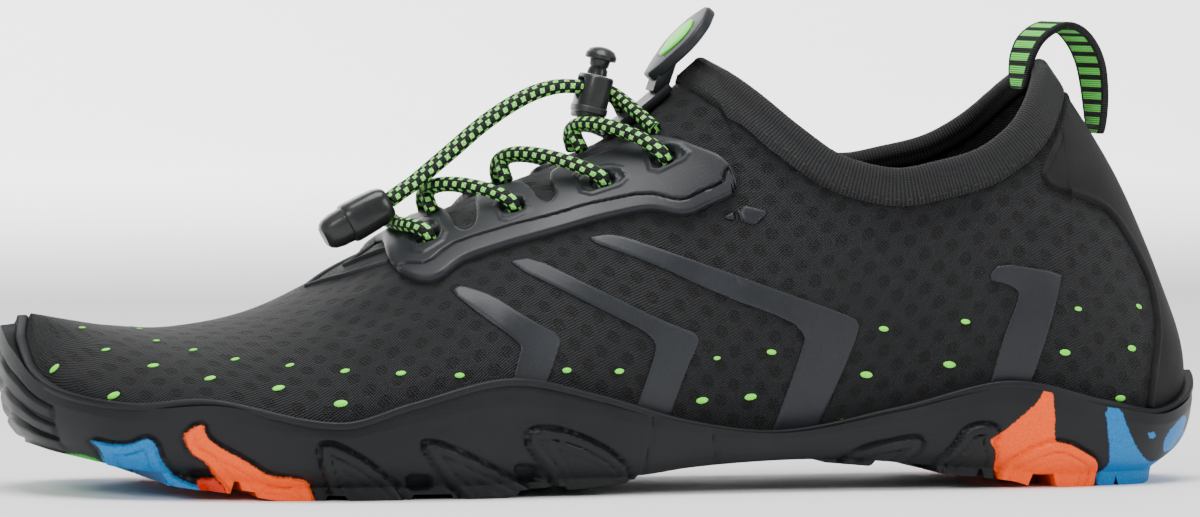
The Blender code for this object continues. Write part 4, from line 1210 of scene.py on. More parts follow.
def ring_tape(name, frames, material):
    legs = 7
    columns = []
    places = []
    run = 0.0
    last = None
    for spot, out, down in frames:
        run += (spot - last).length if last else 0.0
        last = spot
        outside = []
        for step in range(legs, 0, -1):
            reach = TAPE_WIDTH * step / legs
            near, away, _, _ = surface.find_nearest(spot + down * reach)
            away = away if away.dot(out) > 0 else -away
            thick = TAPE_THICKNESS if step < legs else TAPE_THICKNESS * 0.55
            outside.append(near + away * thick)
        half = (UPPER_WALL + 2 * TAPE_THICKNESS) / 2
        centre = spot - out * (UPPER_WALL / 2) + down * (half * 0.35)
        over = []
        for step in range(9):
            angle = math.pi * step / 8
            over.append(centre + out * half * math.cos(angle) - down * half * math.sin(angle))
        inside = []
        for step in range(1, 5):
            reach = TAPE_INSIDE * step / 4
            deep = UPPER_WALL + TAPE_THICKNESS * (0.9 if step < 4 else 0.3)
            inside.append(spot - out * deep + down * reach)
        inner_end = spot - out * (UPPER_WALL * 0.5) + down * TAPE_INSIDE
        outer_end = spot - out * (UPPER_WALL * 0.5) + down * TAPE_WIDTH
        column = outside + over + inside + [inner_end, outer_end]
        columns.append(column)
        steps = [0.0]
        for before, after in zip(column, column[1:]):
            steps.append(steps[-1] + (after - before).length)
        places += [(run, step) for step in steps]
    size = len(columns[0])
    points = [tuple(point) for column in columns for point in column]
    faces = []
    for first in range(len(columns)):
        second = (first + 1) % len(columns)
        for corner in range(size):
            after = (corner + 1) % size
            low = first * size
            far = second * size
            faces.append((low + corner, low + after, far + after, far + corner))
    made = piece(name, points, faces, material, 60.0)
    face_out(made)
    give_uv(made, places)
    return made


def face_out(thing):
    """Turns every face of a closed piece outwards."""
    body = bmesh.new()
    body.from_mesh(thing.data)
    bmesh.ops.recalc_face_normals(body, faces=body.faces)
    body.to_mesh(thing.data)
    body.free()


edge_frames = collar_edge()
binding = ring_tape("collar_tape", edge_frames, tape)
collar_run = sum((a[0] - b[0]).length for a, b in zip(edge_frames, edge_frames[1:]))
print("collar is", round(1000 * collar_run), "mm round")

# %% [markdown]
# ## Sweeps
# Cord, webbing and ribs all follow a path. The sweep carries a section along smooth points without
# twisting it, and writes the run along the path and the way round into the UV map.

# %% Sweep helper
def curve_through(points, count):
    """Points spread evenly along a smooth curve through a route."""
    runs = [0.0]
    for before, after in zip(points, points[1:]):
        runs.append(runs[-1] + (after - before).length)
    rows = {"run": runs, "x": [p.x for p in points], "y": [p.y for p in points], "z": [p.z for p in points]}
    places = [runs[-1] * step / (count - 1) for step in range(count)]
    return [Vector([smooth(rows, axis, one) for axis in "xyz"]) for one in places]


def sweep(name, path, section, material, upright=None, sharp=50.0):
    """Closed solid of a section, given in two directions across the path, along that path."""
    size = len(section)
    points = []
    places = []
    across = upright.copy() if upright else None
    run = 0.0
    around = [0.0]
    for first, second in zip(section, section[1:] + section[:1]):
        around.append(around[-1] + math.dist(first, second))
    for number, point in enumerate(path):
        before = path[max(number - 1, 0)]
        after = path[min(number + 1, len(path) - 1)]
        ahead = (after - before).normalized()
        run += (point - path[number - 1]).length if number else 0.0
        if across is None:
            across = ahead.orthogonal().normalized()
        across = (across - ahead * across.dot(ahead)).normalized()
        other = ahead.cross(across)
        for corner in range(size + 1):
            one, two = section[corner % size]
            points.append(tuple(point + across * one + other * two))
            places.append((run, around[corner]))
    loop = size + 1
    faces = []
    for step in range(len(path) - 1):
        for corner in range(size):
            low = step * loop + corner
            faces.append((low, low + 1, low + loop + 1, low + loop))
    faces.append(tuple(range(size - 1, -1, -1)))
    faces.append(tuple((len(path) - 1) * loop + corner for corner in range(size)))
    made = piece(name, points, faces, material, sharp)
    give_uv(made, places)
    body = bmesh.new()
    body.from_mesh(made.data)
    bmesh.ops.remove_doubles(body, verts=body.verts, dist=1e-7)
    bmesh.ops.recalc_face_normals(body, faces=body.faces)
    body.to_mesh(made.data)
    body.free()
    return made


def round_section(radius, sides):
    turns = [2 * math.pi * step / sides for step in range(sides)]
    return [(radius * math.cos(angle), radius * math.sin(angle)) for angle in turns]


# %% [markdown]
# ## The cord
# One elastic cord laces the shoe. It runs from eyelet to eyelet over the instep, both free strands go
# through the lock, and they end together in a cap. The free strands lie where the plain cords lie.

# %% Cord routes
def place(along_share, sideways, height):
    return Vector((LENGTH * (0.5 - along_share), BALL_WIDTH * sideways, INSTEP_HEIGHT * height))


# Cord: places along, sideways in ball widths, and heights in instep heights
LOCK_FOOT = (0.5145, 0.867)
LOCK_HEAD = (0.5065, 0.964)
SLOT_RISE = 0.70
CAP_BACK = (0.6870, -0.070, 0.679)
CAP_FRONT = (0.7410, -0.070, 0.596)
FREE_CORD = (
    (0.468, -0.140, 0.848), (0.477, -0.090, 0.880), (0.487, -0.036, 0.912), (0.497, -0.0176, 0.932),
    (0.508, -0.0173, 0.938), (0.522, -0.0173, 0.944), (0.538, -0.020, 0.945), (0.556, -0.026, 0.934),
    (0.574, -0.034, 0.912), (0.592, -0.042, 0.882), (0.610, -0.050, 0.846), (0.628, -0.058, 0.804),
    (0.646, -0.065, 0.763), (0.664, -0.071, 0.722), (0.676, -0.077, 0.700), (0.6857, -0.083, 0.6810),
)
CROSSINGS = table(
    "hole along sideways end_along end_sideways",
    (1, 0.589, -0.172, 0.645, 0.050),
    (2, 0.515, -0.187, 0.584, 0.050),
    (3, 0.464, -0.198, 0.520, 0.050),
)
CORD_DIAMETER = 0.0032
CORD_PITCH = 0.0035


def free_strand(side):
    """Route of a free strand, beside its twin from the lock to the end cap."""
    first = FREE_CORD[4]
    route = []
    for number, (one, sideways, height) in enumerate(FREE_CORD):
        if number < 4:
            aside = -side * sideways
        else:
            aside = sideways - first[1] + side * CORD_PITCH / 2 / BALL_WIDTH
        route.append(place(one, aside, height))
    return route


def cord_uv(thing):
    """Turns the distance round a cord into a share of its girth."""
    layer = thing.data.uv_layers["UVMap"].data
    values = np.zeros(len(layer) * 2, np.float32)
    layer.foreach_get("uv", values)
    values[1::2] /= math.pi * CORD_DIAMETER
    layer.foreach_set("uv", values)


CORD_SIDES = 20
free_cords = {}
free_routes = {}
for word, side in (("outer", -1), ("inner", 1)):
    route = curve_through(free_strand(side), 70)
    strand = sweep(f"free_cord_{word}_strand", route, round_section(CORD_DIAMETER / 2, CORD_SIDES), checked)
    cord_uv(strand)
    free_cords[word] = strand
    free_routes[word] = route
    print("free strand", word, round(1000 * sum((b - a).length for a, b in zip(route, route[1:]))), "mm")


# %% Lacing over the instep
# How far along each crossing, and how high the cord's middle lies over the knit there
LACE_ARCH = ((0.14, 0.0044), (0.36, 0.0056), (0.6, 0.0060), (0.8, 0.0052), (0.93, 0.0036), (1.0, 0.0016))


def over_surface(x, y, height):
    """Point at a height over the upper, straight out from its surface."""
    spot, away, _, _ = surface.ray_cast(Vector((x, y, 1.0)), Vector((0, 0, -1)))
    return spot + away * (1 if away.z > 0 else -1) * height


def lace(name, route, count=44):
    made = sweep(name, curve_through(route, count), round_section(CORD_DIAMETER / 2, CORD_SIDES), checked)
    cord_uv(made)
    return made


def build_laces():
    holes = {side: eyelet_points(side) for side in (-1, 1)}
    laces = {}
    for row, name in enumerate(("low", "middle", "top")):
        end_x = LENGTH * (0.5 - CROSSINGS["end_along"][row])
        end_y = BALL_WIDTH * CROSSINGS["end_sideways"][row]
        strands = []
        for side in (1, -1):
            spot, away = holes[-side][row + 1]
            start_y = spot.y
            aim_y = end_y * side
            route = [spot - away * 0.0030, spot + away * 0.0024]
            for share, rise in LACE_ARCH:
                x = spot.x + (end_x - spot.x) * math.sin(share * math.pi / 2)
                y = start_y + (aim_y - start_y) * share
                lift = 0.0010 if side > 0 else -0.0006
                route.append(over_surface(x, y, rise + lift * math.sin(math.pi * share)))
            strands.append(lace(f"lace_{name}_{'outer' if side > 0 else 'inner'}", route))
        laces[name] = strands
    (left, left_out), (right, right_out) = holes[-1][0], holes[1][0]
    route = [left - left_out * 0.003, left + left_out * 0.0026]
    for share in (-0.8, -0.5, -0.2, 0.2, 0.5, 0.8):
        x = left.x - 0.0045 * (1 - share**2)
        route.append(over_surface(x, -left.y * share if share > 0 else left.y * -share, 0.0036))
    route += [right + right_out * 0.0026, right - right_out * 0.003]
    laces["bar"] = [lace("lace_bar_cord", route)]
    return laces


laces = build_laces()
print({name: len(strands) for name, strands in laces.items()})

# %% Thin welded ribs over the vamp
def build_vamp_ribs():
    ribs = []
    half_round = [(0.0006 * math.cos(a), 0.0005 * math.sin(a)) for a in np.linspace(0, math.pi, 7)]
    half_round += [(-0.0006, -0.0003), (0.0006, -0.0003)]
    for number, row in enumerate((
        ((-0.0693, 0.000), (-0.0655, -0.004), (-0.0620, -0.008), (-0.0570, -0.012), (-0.0530, -0.015)),
        ((-0.0605, 0.000), (-0.0575, -0.002), (-0.0550, -0.004), (-0.0528, -0.006), (-0.0505, -0.008)),
    )):
        for word, side in (("outer", 1), ("inner", -1)):
            route = [over_surface(x, y * side, 0.0001) for x, y in row]
            name = f"vamp_rib_{number}_{word}"
            ribs.append(sweep(name, curve_through(route, 40), half_round, film, Vector((0, 0, 1))))
    return ribs


vamp_ribs = build_vamp_ribs()

# %% [markdown]
# ## Lock and end cap
# The lock is a short barrel with an oval section, a lighter ring round its foot, and a sprung button
# on a stem. The end cap is a soft moulded sleeve. Both are lofts through ovals along an axis.

# %% Lock and cap
def oval_loft(name, start, end, rings, width, depth, material, power=2.0, sides=48):
    """Closed solid through ovals along an axis in the middle plane."""
    axis = end - start
    ahead = axis.normalized()
    across = Vector((0, 1, 0))
    other = across.cross(ahead)
    points = []
    for share, size in rings:
        middle = start + axis * share
        for step in range(sides):
            angle = 2 * math.pi * step / sides
            one = math.copysign(abs(math.cos(angle)) ** (2 / power), math.cos(angle))
            two = math.copysign(abs(math.sin(angle)) ** (2 / power), math.sin(angle))
            points.append(tuple(middle + across * one * width / 2 * size + other * two * depth / 2 * size))
    faces = grid_faces(len(rings), sides, False)
    for ring_number in range(len(rings) - 1):
        low = ring_number * sides
        faces.append((low + sides - 1, low, low + sides, low + 2 * sides - 1))
    faces.append(tuple(range(sides)))
    faces.append(tuple((len(rings) - 1) * sides + corner for corner in reversed(range(sides))))
    made = piece(name, points, faces, material, 35.0)
    face_out(made)
    return made


LOCK_LENGTH = 0.0102
LOCK_WIDTH = 0.0120
LOCK_DEPTH = 0.0077
STEM_LENGTH = 0.0035
BUTTON_HEIGHT = 0.0030
CAP_WIDTH = 0.0100
CAP_DEPTH = 0.0088


def build_lock():
    foot = place(LOCK_FOOT[0], 0.0, LOCK_FOOT[1])
    ahead = (place(LOCK_HEAD[0], 0.0, LOCK_HEAD[1]) - foot).normalized()
    head = foot + ahead * LOCK_LENGTH
    body = (
        (0.0, 0.86), (0.03, 0.93), (0.08, 0.95), (0.13, 0.96),
        (0.5, 0.985), (0.90, 1.0), (0.96, 0.98), (1.0, 0.90),
    )
    barrel = oval_loft("lock_barrel", foot, head, body, LOCK_WIDTH, LOCK_DEPTH, plastic, 2.6)
    low = foot + ahead * 0.0014
    ring_rows = ((0.0, 0.98), (0.15, 1.03), (0.85, 1.03), (1.0, 0.98))
    high = low + ahead * 0.0016
    base = oval_loft("lock_ring", low, high, ring_rows, LOCK_WIDTH, LOCK_DEPTH, lighter_plastic, 2.6)
    middle = foot + ahead * LOCK_LENGTH * SLOT_RISE
    through = Vector((ahead.z, 0, -ahead.x))
    wide = CORD_PITCH + CORD_DIAMETER + 4 * GAP
    tall = CORD_DIAMETER + 4 * GAP
    ends = (middle - through * 0.01, middle + through * 0.01)
    cutter = oval_loft("slot_cutter", *ends, ((0, 1), (1, 1)), wide, tall, plastic, 4.0)
    cut = barrel.modifiers.new("slot", "BOOLEAN")
    cut.operation = "DIFFERENCE"
    cut.solver = "EXACT"
    cut.object = cutter
    bake(barrel)
    bpy.data.objects.remove(cutter)
    start = head + ahead * GAP * 0.5
    stem_top = start + ahead * STEM_LENGTH
    stem_rows = ((0.0, 1.0), (0.35, 0.92), (0.5, 0.80), (0.65, 0.92), (1.0, 1.0))
    stem = oval_loft("lock_stem", start, stem_top, stem_rows, LOCK_WIDTH * 0.48, LOCK_DEPTH * 0.62, plastic)
    dome = ((0.0, 0.92), (0.08, 1.0), (0.38, 1.0), (0.5, 0.94), (0.75, 0.80), (0.92, 0.52), (1.0, 0.20))
    top = stem_top + ahead * BUTTON_HEIGHT
    button = oval_loft("lock_button", stem_top, top, dome, LOCK_WIDTH * 0.78, LOCK_DEPTH * 0.92, plastic)
    return barrel, base, stem, button


def bake(thing):
    """Replaces a piece's mesh by what its modifiers make of it."""
    graph = bpy.context.evaluated_depsgraph_get()
    mesh = bpy.data.meshes.new_from_object(thing.evaluated_get(graph))
    thing.modifiers.clear()
    thing.data = mesh
    return thing


def build_end_cap():
    back = place(*CAP_BACK)
    front = place(*CAP_FRONT)
    rows = (
        (0.0, 0.70), (0.02, 0.80), (0.06, 0.88), (0.14, 0.97), (0.30, 1.02), (0.52, 1.05), (0.60, 1.05),
        (0.63, 1.01), (0.645, 0.93), (0.67, 0.92), (0.80, 0.90), (0.92, 0.80), (0.97, 0.68), (1.0, 0.50),
    )
    return oval_loft("end_cap", back, front, rows, CAP_WIDTH, CAP_DEPTH, plastic, 2.8)


lock = build_lock()
end_cap = build_end_cap()
print("lock pieces", [thing.name for thing in lock])

# %% [markdown]
# ## Instep tab
# A moulded tab stands at the front of the collar. It is a shield-shaped plate on a short neck, and its
# face carries a plain green inset.

# %% Tab
# Instep tab in the middle plane: foot and tip of its plate, and half widths along it
TAB_FOOT = (0.462, 0.963)
TAB_TIP = (0.4094, 1.1243)
TAB_OUTLINE = table("up half", (0.0, 0.12), (0.2, 0.32), (0.5, 0.50), (0.78, 0.40), (0.95, 0.16), (1.0, 0.06))
TAB_LENGTH = 0.0213
TAB_WIDTH = 0.0210
TAB_THICKNESS = 0.0026


def plate_points(rows, half_thickness, shrink, lift=0.0):
    """Rows of points across a leaning plate, shrunk towards its middle line."""
    foot = place(TAB_FOOT[0], 0.0, TAB_FOOT[1])
    ahead = (place(TAB_TIP[0], 0.0, TAB_TIP[1]) - foot).normalized()
    out = Vector((-ahead.z, 0, ahead.x))
    middle_up = 0.55
    made = []
    for up, half in rows:
        spot = foot + ahead * TAB_LENGTH * (middle_up + (up - middle_up) * shrink) + out * lift
        wide = Vector((0, TAB_WIDTH * half * shrink, 0))
        made.append((spot, wide, out * half_thickness))
    return made


def build_plate(name, rows, half_thickness, shrink, lift, material):
    loft = []
    for spot, wide, out in plate_points(rows, half_thickness, shrink, lift):
        loft.append([spot - wide - out, spot + wide - out, spot + wide + out, spot - wide + out])
    points = [tuple(point) for one in loft for point in one]
    faces = [(0, 1, 2, 3), tuple(len(points) - 1 - corner for corner in range(4))]
    for step in range(len(loft) - 1):
        for corner in range(4):
            after = (corner + 1) % 4
            faces.append((4 * step + corner, 4 * step + after, 4 * step + 4 + after, 4 * step + 4 + corner))
    made = piece(name, points, faces, material, 30.0)
    face_out(made)
    edge = made.modifiers.new("edge", "BEVEL")
    edge.width = 0.0007
    edge.segments = 3
    edge.limit_method = "ANGLE"
    edge.angle_limit = math.radians(35)
    bake(made)
    made.data.shade_smooth()
    made.data.set_sharp_from_angle(angle=math.radians(50))
    return made


def build_tab():
    rows = [(step / 20, max(0.05, smooth(TAB_OUTLINE, "half", step / 20))) for step in range(21)]
    plate = build_plate("tab_plate", rows, TAB_THICKNESS / 2, 1.0, 0.0, moulded)
    inset = build_plate("tab_inset", rows, 0.0004, 0.52, TAB_THICKNESS / 2 + 0.0002, bright_green)
    neck_line = (0.497, 0.485, 0.473, 0.461, 0.450, 0.444)
    path = [over_surface(LENGTH * (0.5 - one), 0.0, 0.0014) for one in neck_line]
    strip = [(-0.0050, -0.0010), (0.0050, -0.0010), (0.0050, 0.0008), (-0.0050, 0.0008)]
    neck = sweep("tab_neck", curve_through(path, 16), strip, moulded, Vector((0, 1, 0)), 30.0)
    foot = over_surface(LENGTH * (0.5 - 0.452), 0.0, 0.0018)
    middle = plate_points(((0.30, 0.3),), 0.0, 1.0)[0][0]
    post_section = [(-0.0042, -0.0016), (0.0042, -0.0016), (0.0042, 0.0016), (-0.0042, 0.0016)]
    route = [foot, foot.lerp(middle, 0.5), middle]
    post = sweep("tab_post", route, post_section, moulded, Vector((0, 1, 0)), 30.0)
    return plate, inset, neck, post


tab_pieces = build_tab()
print("tab pieces", len(tab_pieces))

# %% [markdown]
# ## Heel loop
# A strip of striped webbing leaves the inside of the collar, stands up as a loop for the finger, and
# comes down on the heel panel.

# %% Loop
# Heel loop in the middle plane, from inside the collar over to the back of the heel
LOOP_PATH = (
    (0.1464, 0.932), (0.1460, 0.959), (0.1449, 0.986), (0.1428, 1.013), (0.1366, 1.048),
    (0.1261, 1.073), (0.1141, 1.084), (0.1022, 1.070), (0.0920, 1.036), (0.0851, 0.990),
    (0.0819, 0.935), (0.0808, 0.885), (0.0808, 0.825),
)
LOOP_WIDTH = 0.0100
LOOP_THICKNESS = 0.0016
LOOP_TWIST = math.radians(27.0)


def build_loop():
    route = curve_through([place(one, 0.0, height) for one, height in LOOP_PATH], 60)
    half = LOOP_WIDTH / 2
    thick = LOOP_THICKNESS / 2
    rim = 0.0004
    strip = [
        (-half, -thick + rim), (-half + rim, -thick), (half - rim, -thick), (half, -thick + rim),
        (half, thick - rim), (half - rim, thick), (-half + rim, thick), (-half, thick - rim),
    ]
    made = sweep("heel_loop_webbing", route, strip, webbing, Vector((0, 1, 0)), 40.0)
    layer = made.data.uv_layers["UVMap"].data
    corners = np.zeros(len(made.data.loops), np.int32)
    made.data.loops.foreach_get("vertex_index", corners)
    spots = np.array([tuple(vertex.co) for vertex in made.data.vertices])
    values = np.zeros(len(layer) * 2, np.float32)
    layer.foreach_get("uv", values)
    values[1::2] = spots[corners, 1] - CENTRE.y
    layer.foreach_set("uv", values)
    for number, vertex in enumerate(made.data.vertices):
        step = min(number // len(strip), len(route) - 1)
        twist = LOOP_TWIST * math.sin(math.pi * step / (len(route) - 1)) ** 0.6
        pivot = route[step] + CENTRE
        vertex.co = pivot + Matrix.Rotation(twist, 3, "Z") @ (vertex.co - pivot)
    return made


heel_loop = build_loop()

# %% [markdown]
# ## Cup sole
# The sole is one moulding. Its side rises in a wavy rim with a thin lip, leaf-shaped lugs run down the
# side and carry on as bars under the sole, and ribs run round the toe. Here it is a dense skin whose
# height is set by distances to the drawn leaves, so all edges have the soft radius of a mould.

# %% Leaf outlines on the sole's side, as shares of the length and of the side height
LEAVES = (
    (
        (0.947, 0.49), (0.934, 0.45), (0.920, 0.45), (0.908, 0.52), (0.901, 0.48), (0.895, 0.32),
        (0.881, 0.18), (0.857, 0.09), (0.846, -0.20), (0.881, -0.20), (0.905, 0.08), (0.922, 0.17),
        (0.933, 0.29), (0.942, 0.42),
    ),
    (
        (0.880, 0.55), (0.872, 0.62), (0.866, 0.64), (0.863, 0.54), (0.856, 0.47), (0.832, 0.34),
        (0.813, 0.21), (0.787, 0.18), (0.778, 0.12), (0.771, -0.20), (0.820, -0.20), (0.841, 0.10),
        (0.851, 0.20), (0.861, 0.32), (0.875, 0.40),
    ),
    (
        (0.774, 0.46), (0.766, 0.48), (0.754, 0.43), (0.735, 0.32), (0.718, 0.19), (0.705, 0.07),
        (0.693, -0.20), (0.745, -0.20), (0.758, 0.00), (0.766, 0.16), (0.772, 0.31),
    ),
    (
        (0.690, 0.48), (0.677, 0.47), (0.659, 0.40), (0.634, 0.28), (0.608, 0.15), (0.590, 0.06),
        (0.582, -0.20), (0.640, -0.20), (0.652, 0.04), (0.667, 0.16), (0.681, 0.33),
    ),
    (
        (0.601, 0.54), (0.589, 0.58), (0.573, 0.56), (0.551, 0.49), (0.528, 0.37), (0.509, 0.22),
        (0.500, -0.20), (0.560, -0.20), (0.573, 0.13), (0.586, 0.28), (0.598, 0.43),
    ),
    (
        (0.335, 0.10), (0.320, 0.29), (0.303, 0.37), (0.282, 0.41), (0.265, 0.44), (0.258, 0.41),
        (0.259, 0.34), (0.274, 0.22), (0.300, 0.00),
    ),
    (
        (0.250, 0.00), (0.244, 0.23), (0.234, 0.32), (0.227, 0.42), (0.222, 0.50), (0.212, 0.54),
        (0.198, 0.53), (0.193, 0.47), (0.200, 0.41), (0.195, 0.29), (0.193, -0.10), (0.227, -0.10),
    ),
    (
        (0.191, 0.08), (0.185, 0.20), (0.168, 0.31), (0.147, 0.39), (0.133, 0.37), (0.121, 0.31),
        (0.107, 0.23), (0.103, 0.12), (0.113, -0.20), (0.175, -0.20),
    ),
)
PAINT = {
    "paint_blue": (
        (
            (0.949, 0.49), (0.934, 0.46), (0.920, 0.46), (0.908, 0.52), (0.901, 0.48), (0.895, 0.32),
            (0.881, 0.18), (0.857, 0.09), (0.842, 0.05), (0.852, -0.30), (0.905, -0.30), (0.925, 0.05),
            (0.935, 0.29), (0.942, 0.42),
        ),
        (
            (0.102, 0.68), (0.086, 0.65), (0.081, 0.51), (0.071, 0.33), (0.061, 0.22), (0.051, 0.18),
            (0.038, 0.22), (0.026, 0.30), (0.017, 0.45), (0.000, 0.36), (0.000, -0.30), (0.090, -0.30),
            (0.106, 0.08), (0.094, 0.16), (0.097, 0.37),
        ),
        (
            (0.020, 0.57), (0.036, 0.46), (0.043, 0.36), (0.042, 0.26), (0.032, 0.27), (0.020, 0.40),
            (0.014, 0.53),
        ),
        ((0.061, 0.44), (0.054, 0.45), (0.051, 0.40), (0.058, 0.38)),
    ),
    "paint_orange": (
        (
            (0.881, 0.55), (0.872, 0.62), (0.865, 0.64), (0.863, 0.54), (0.856, 0.47), (0.832, 0.34),
            (0.813, 0.21), (0.785, 0.19), (0.777, 0.12), (0.768, -0.30), (0.838, -0.30), (0.844, 0.10),
            (0.853, 0.20), (0.862, 0.32), (0.875, 0.40),
        ),
        (
            (0.154, 0.87), (0.148, 0.81), (0.146, 0.59), (0.146, 0.39), (0.133, 0.37), (0.121, 0.31),
            (0.107, 0.23), (0.103, 0.15), (0.112, -0.30), (0.178, -0.30), (0.191, 0.08), (0.195, 0.20),
            (0.195, 0.31), (0.204, 0.41), (0.191, 0.48), (0.181, 0.56), (0.161, 0.73),
        ),
    ),
    "paint_red": (
        ((0.865, 0.18), (0.853, 0.19), (0.844, 0.09), (0.838, -0.10), (0.856, -0.10), (0.867, 0.12)),
    ),
    "paint_green": (
        ((0.962, 0.35), (0.948, 0.35), (0.933, 0.29), (0.926, 0.10), (0.926, -0.30), (0.962, -0.30)),
    ),
}
WINDOWS = (
    ((0.875, 0.27), (0.855, 0.27), (0.853, 0.16), (0.873, 0.16)),
    ((0.703, 0.23), (0.679, 0.22), (0.675, 0.08), (0.699, 0.07)),
    ((0.611, 0.30), (0.588, 0.29), (0.583, 0.12), (0.606, 0.12)),
)
# Bars under the sole: middle along the length and half width
BARS = (
    (0.864, 0.0062), (0.793, 0.0070), (0.721, 0.0068), (0.633, 0.0070), (0.536, 0.0068),
    (0.318, 0.0050), (0.226, 0.0042), (0.184, 0.0050), (0.114, 0.0070), (0.067, 0.0042),
)
TOE_RIBS = ((0.05, 0.22), (0.27, 0.44), (0.49, 0.68))
TOE_RIB_TURN = 0.895
RIB_PROUD = 0.0005
TOE_RAISE = 0.0016
LIP_HEIGHT = 0.0018
LIP_PROUD = 0.0005

# %% Sole skin
SOLE_SECTIONS = 540
FOOT_ROWS = 5
SIDE_ROWS = 46
UNDER_ROWS = 16
SOLE_TURNS = [step / (SOLE_SECTIONS - 1) for step in range(SOLE_SECTIONS)]
# Bars are a little wider than drawn, with a short slope; gaps under the forefoot are partly filled
BAR_SPREAD = 1.12
BAR_SLOPE = 0.0007
FOREFOOT_FILL = 0.62
FOREFOOT_START = -0.092
WINDOW_DEPTH = 0.0020
# Two thin cuts in the arch's side: place along and lean
SIDE_CUTS = ((0.498, -0.10), (0.430, 0.12))
CUT_DEPTH = 0.0006
CUT_HALF = 0.0007
# Two lengthwise grooves under the sole: how far aside in ball widths, depth, half width and slope
GROOVE_ASIDE = 0.12
GROOVE_DEPTH = 0.0012
GROOVE_HALF = 0.0012
GROOVE_SLOPE = 0.0010
PAINT_REACH = 0.01


def side_outline(outline, rounds=1):
    shape = np.array([(LENGTH * (0.5 - one), SIDE_HEIGHT * up) for one, up in outline])
    return cut_corners(shape, rounds)


def bar_share(x):
    """How far a place under the sole is a bar rather than a gap between bars."""
    shares = [FOREFOOT_FILL if FOREFOOT_START < x < 0.0 else 0.0]
    for middle, half in BARS:
        inside = half * BAR_SPREAD - abs(x - LENGTH * (0.5 - middle))
        shares.append(min(max(inside / BAR_SLOPE + 0.5, 0.0), 1.0))
    return max(shares)


def sole_columns():
    columns = []
    kinds = []
    for turned, side in ring(SOLE_TURNS):
        points = arch_points(turned, side)
        high = rim_height(turned, side) + TOE_RAISE * float(soft(turned - 0.965, 0.03))
        rim_point = on_arch(points, part_at_height(points, high))
        out = outward(turned, side)
        edge = inset_outline(turned, side, BOTTOM_INSET)
        base = base_height(edge.x)
        foot = base - (base - lug_height(edge.x)) * bar_share(edge.x)
        column = []
        kind = []
        middle = Vector((edge.x, BALL_WIDTH * smooth(OUTLINE, "centre", along_of(edge.x)), 0))
        for step in range(UNDER_ROWS):
            point = middle.lerp(edge, step / UNDER_ROWS)
            point.z = foot
            column.append(point)
            kind.append((0, 0, 0, -1))
        for step in range(FOOT_ROWS):
            point = edge.copy()
            point.z = foot + (base - foot) * step / FOOT_ROWS
            column.append(point)
            kind.append((out.x, out.y, 0, 0))
        for step in range(SIDE_ROWS + 1):
            up = step / SIDE_ROWS
            point = inset_outline(turned, side, BOTTOM_INSET * smooth(SIDE, "inset", up * 0.92))
            point.z = base + up * 0.92 * (rim_point.z - base)
            column.append(point)
            kind.append((out.x, out.y, 0, up * 0.92))
        wall = rim_point + out * (GAP + RIM_WALL)
        drop = min(LIP_HEIGHT, 0.16 * (rim_point.z - base))
        for down, proud in ((1.0, 0.0), (0.93, 0.7), (0.80, 1.0), (0.25, 1.0), (0.08, 0.75), (0.0, 0.2)):
            column.append(wall - Vector((0, 0, drop * down)) + out * LIP_PROUD * proud)
            kind.append((out.x, out.y, 0, 2))
        for inward, down in ((0.35, 0.0), (0.75, 0.0), (0.95, 0.0003), (1.0, 0.0010), (1.0, 0.004)):
            column.append(wall - out * (RIM_WALL * inward) - Vector((0, 0, down)))
            kind.append((0, 0, 1, 3))
        corner = inset_outline(turned, side, FEATHER_INSET)
        corner.z = floor_height(corner.x)
        column.append(corner)
        kind.append((0, 0, 1, 3))
        inner = Vector((corner.x, middle.y, corner.z))
        column.append(inner)
        kind.append((0, 0, 1, 3))
        columns.append([tuple(point) for point in column])
        kinds.append(kind)
    return np.array(columns), np.array(kinds)


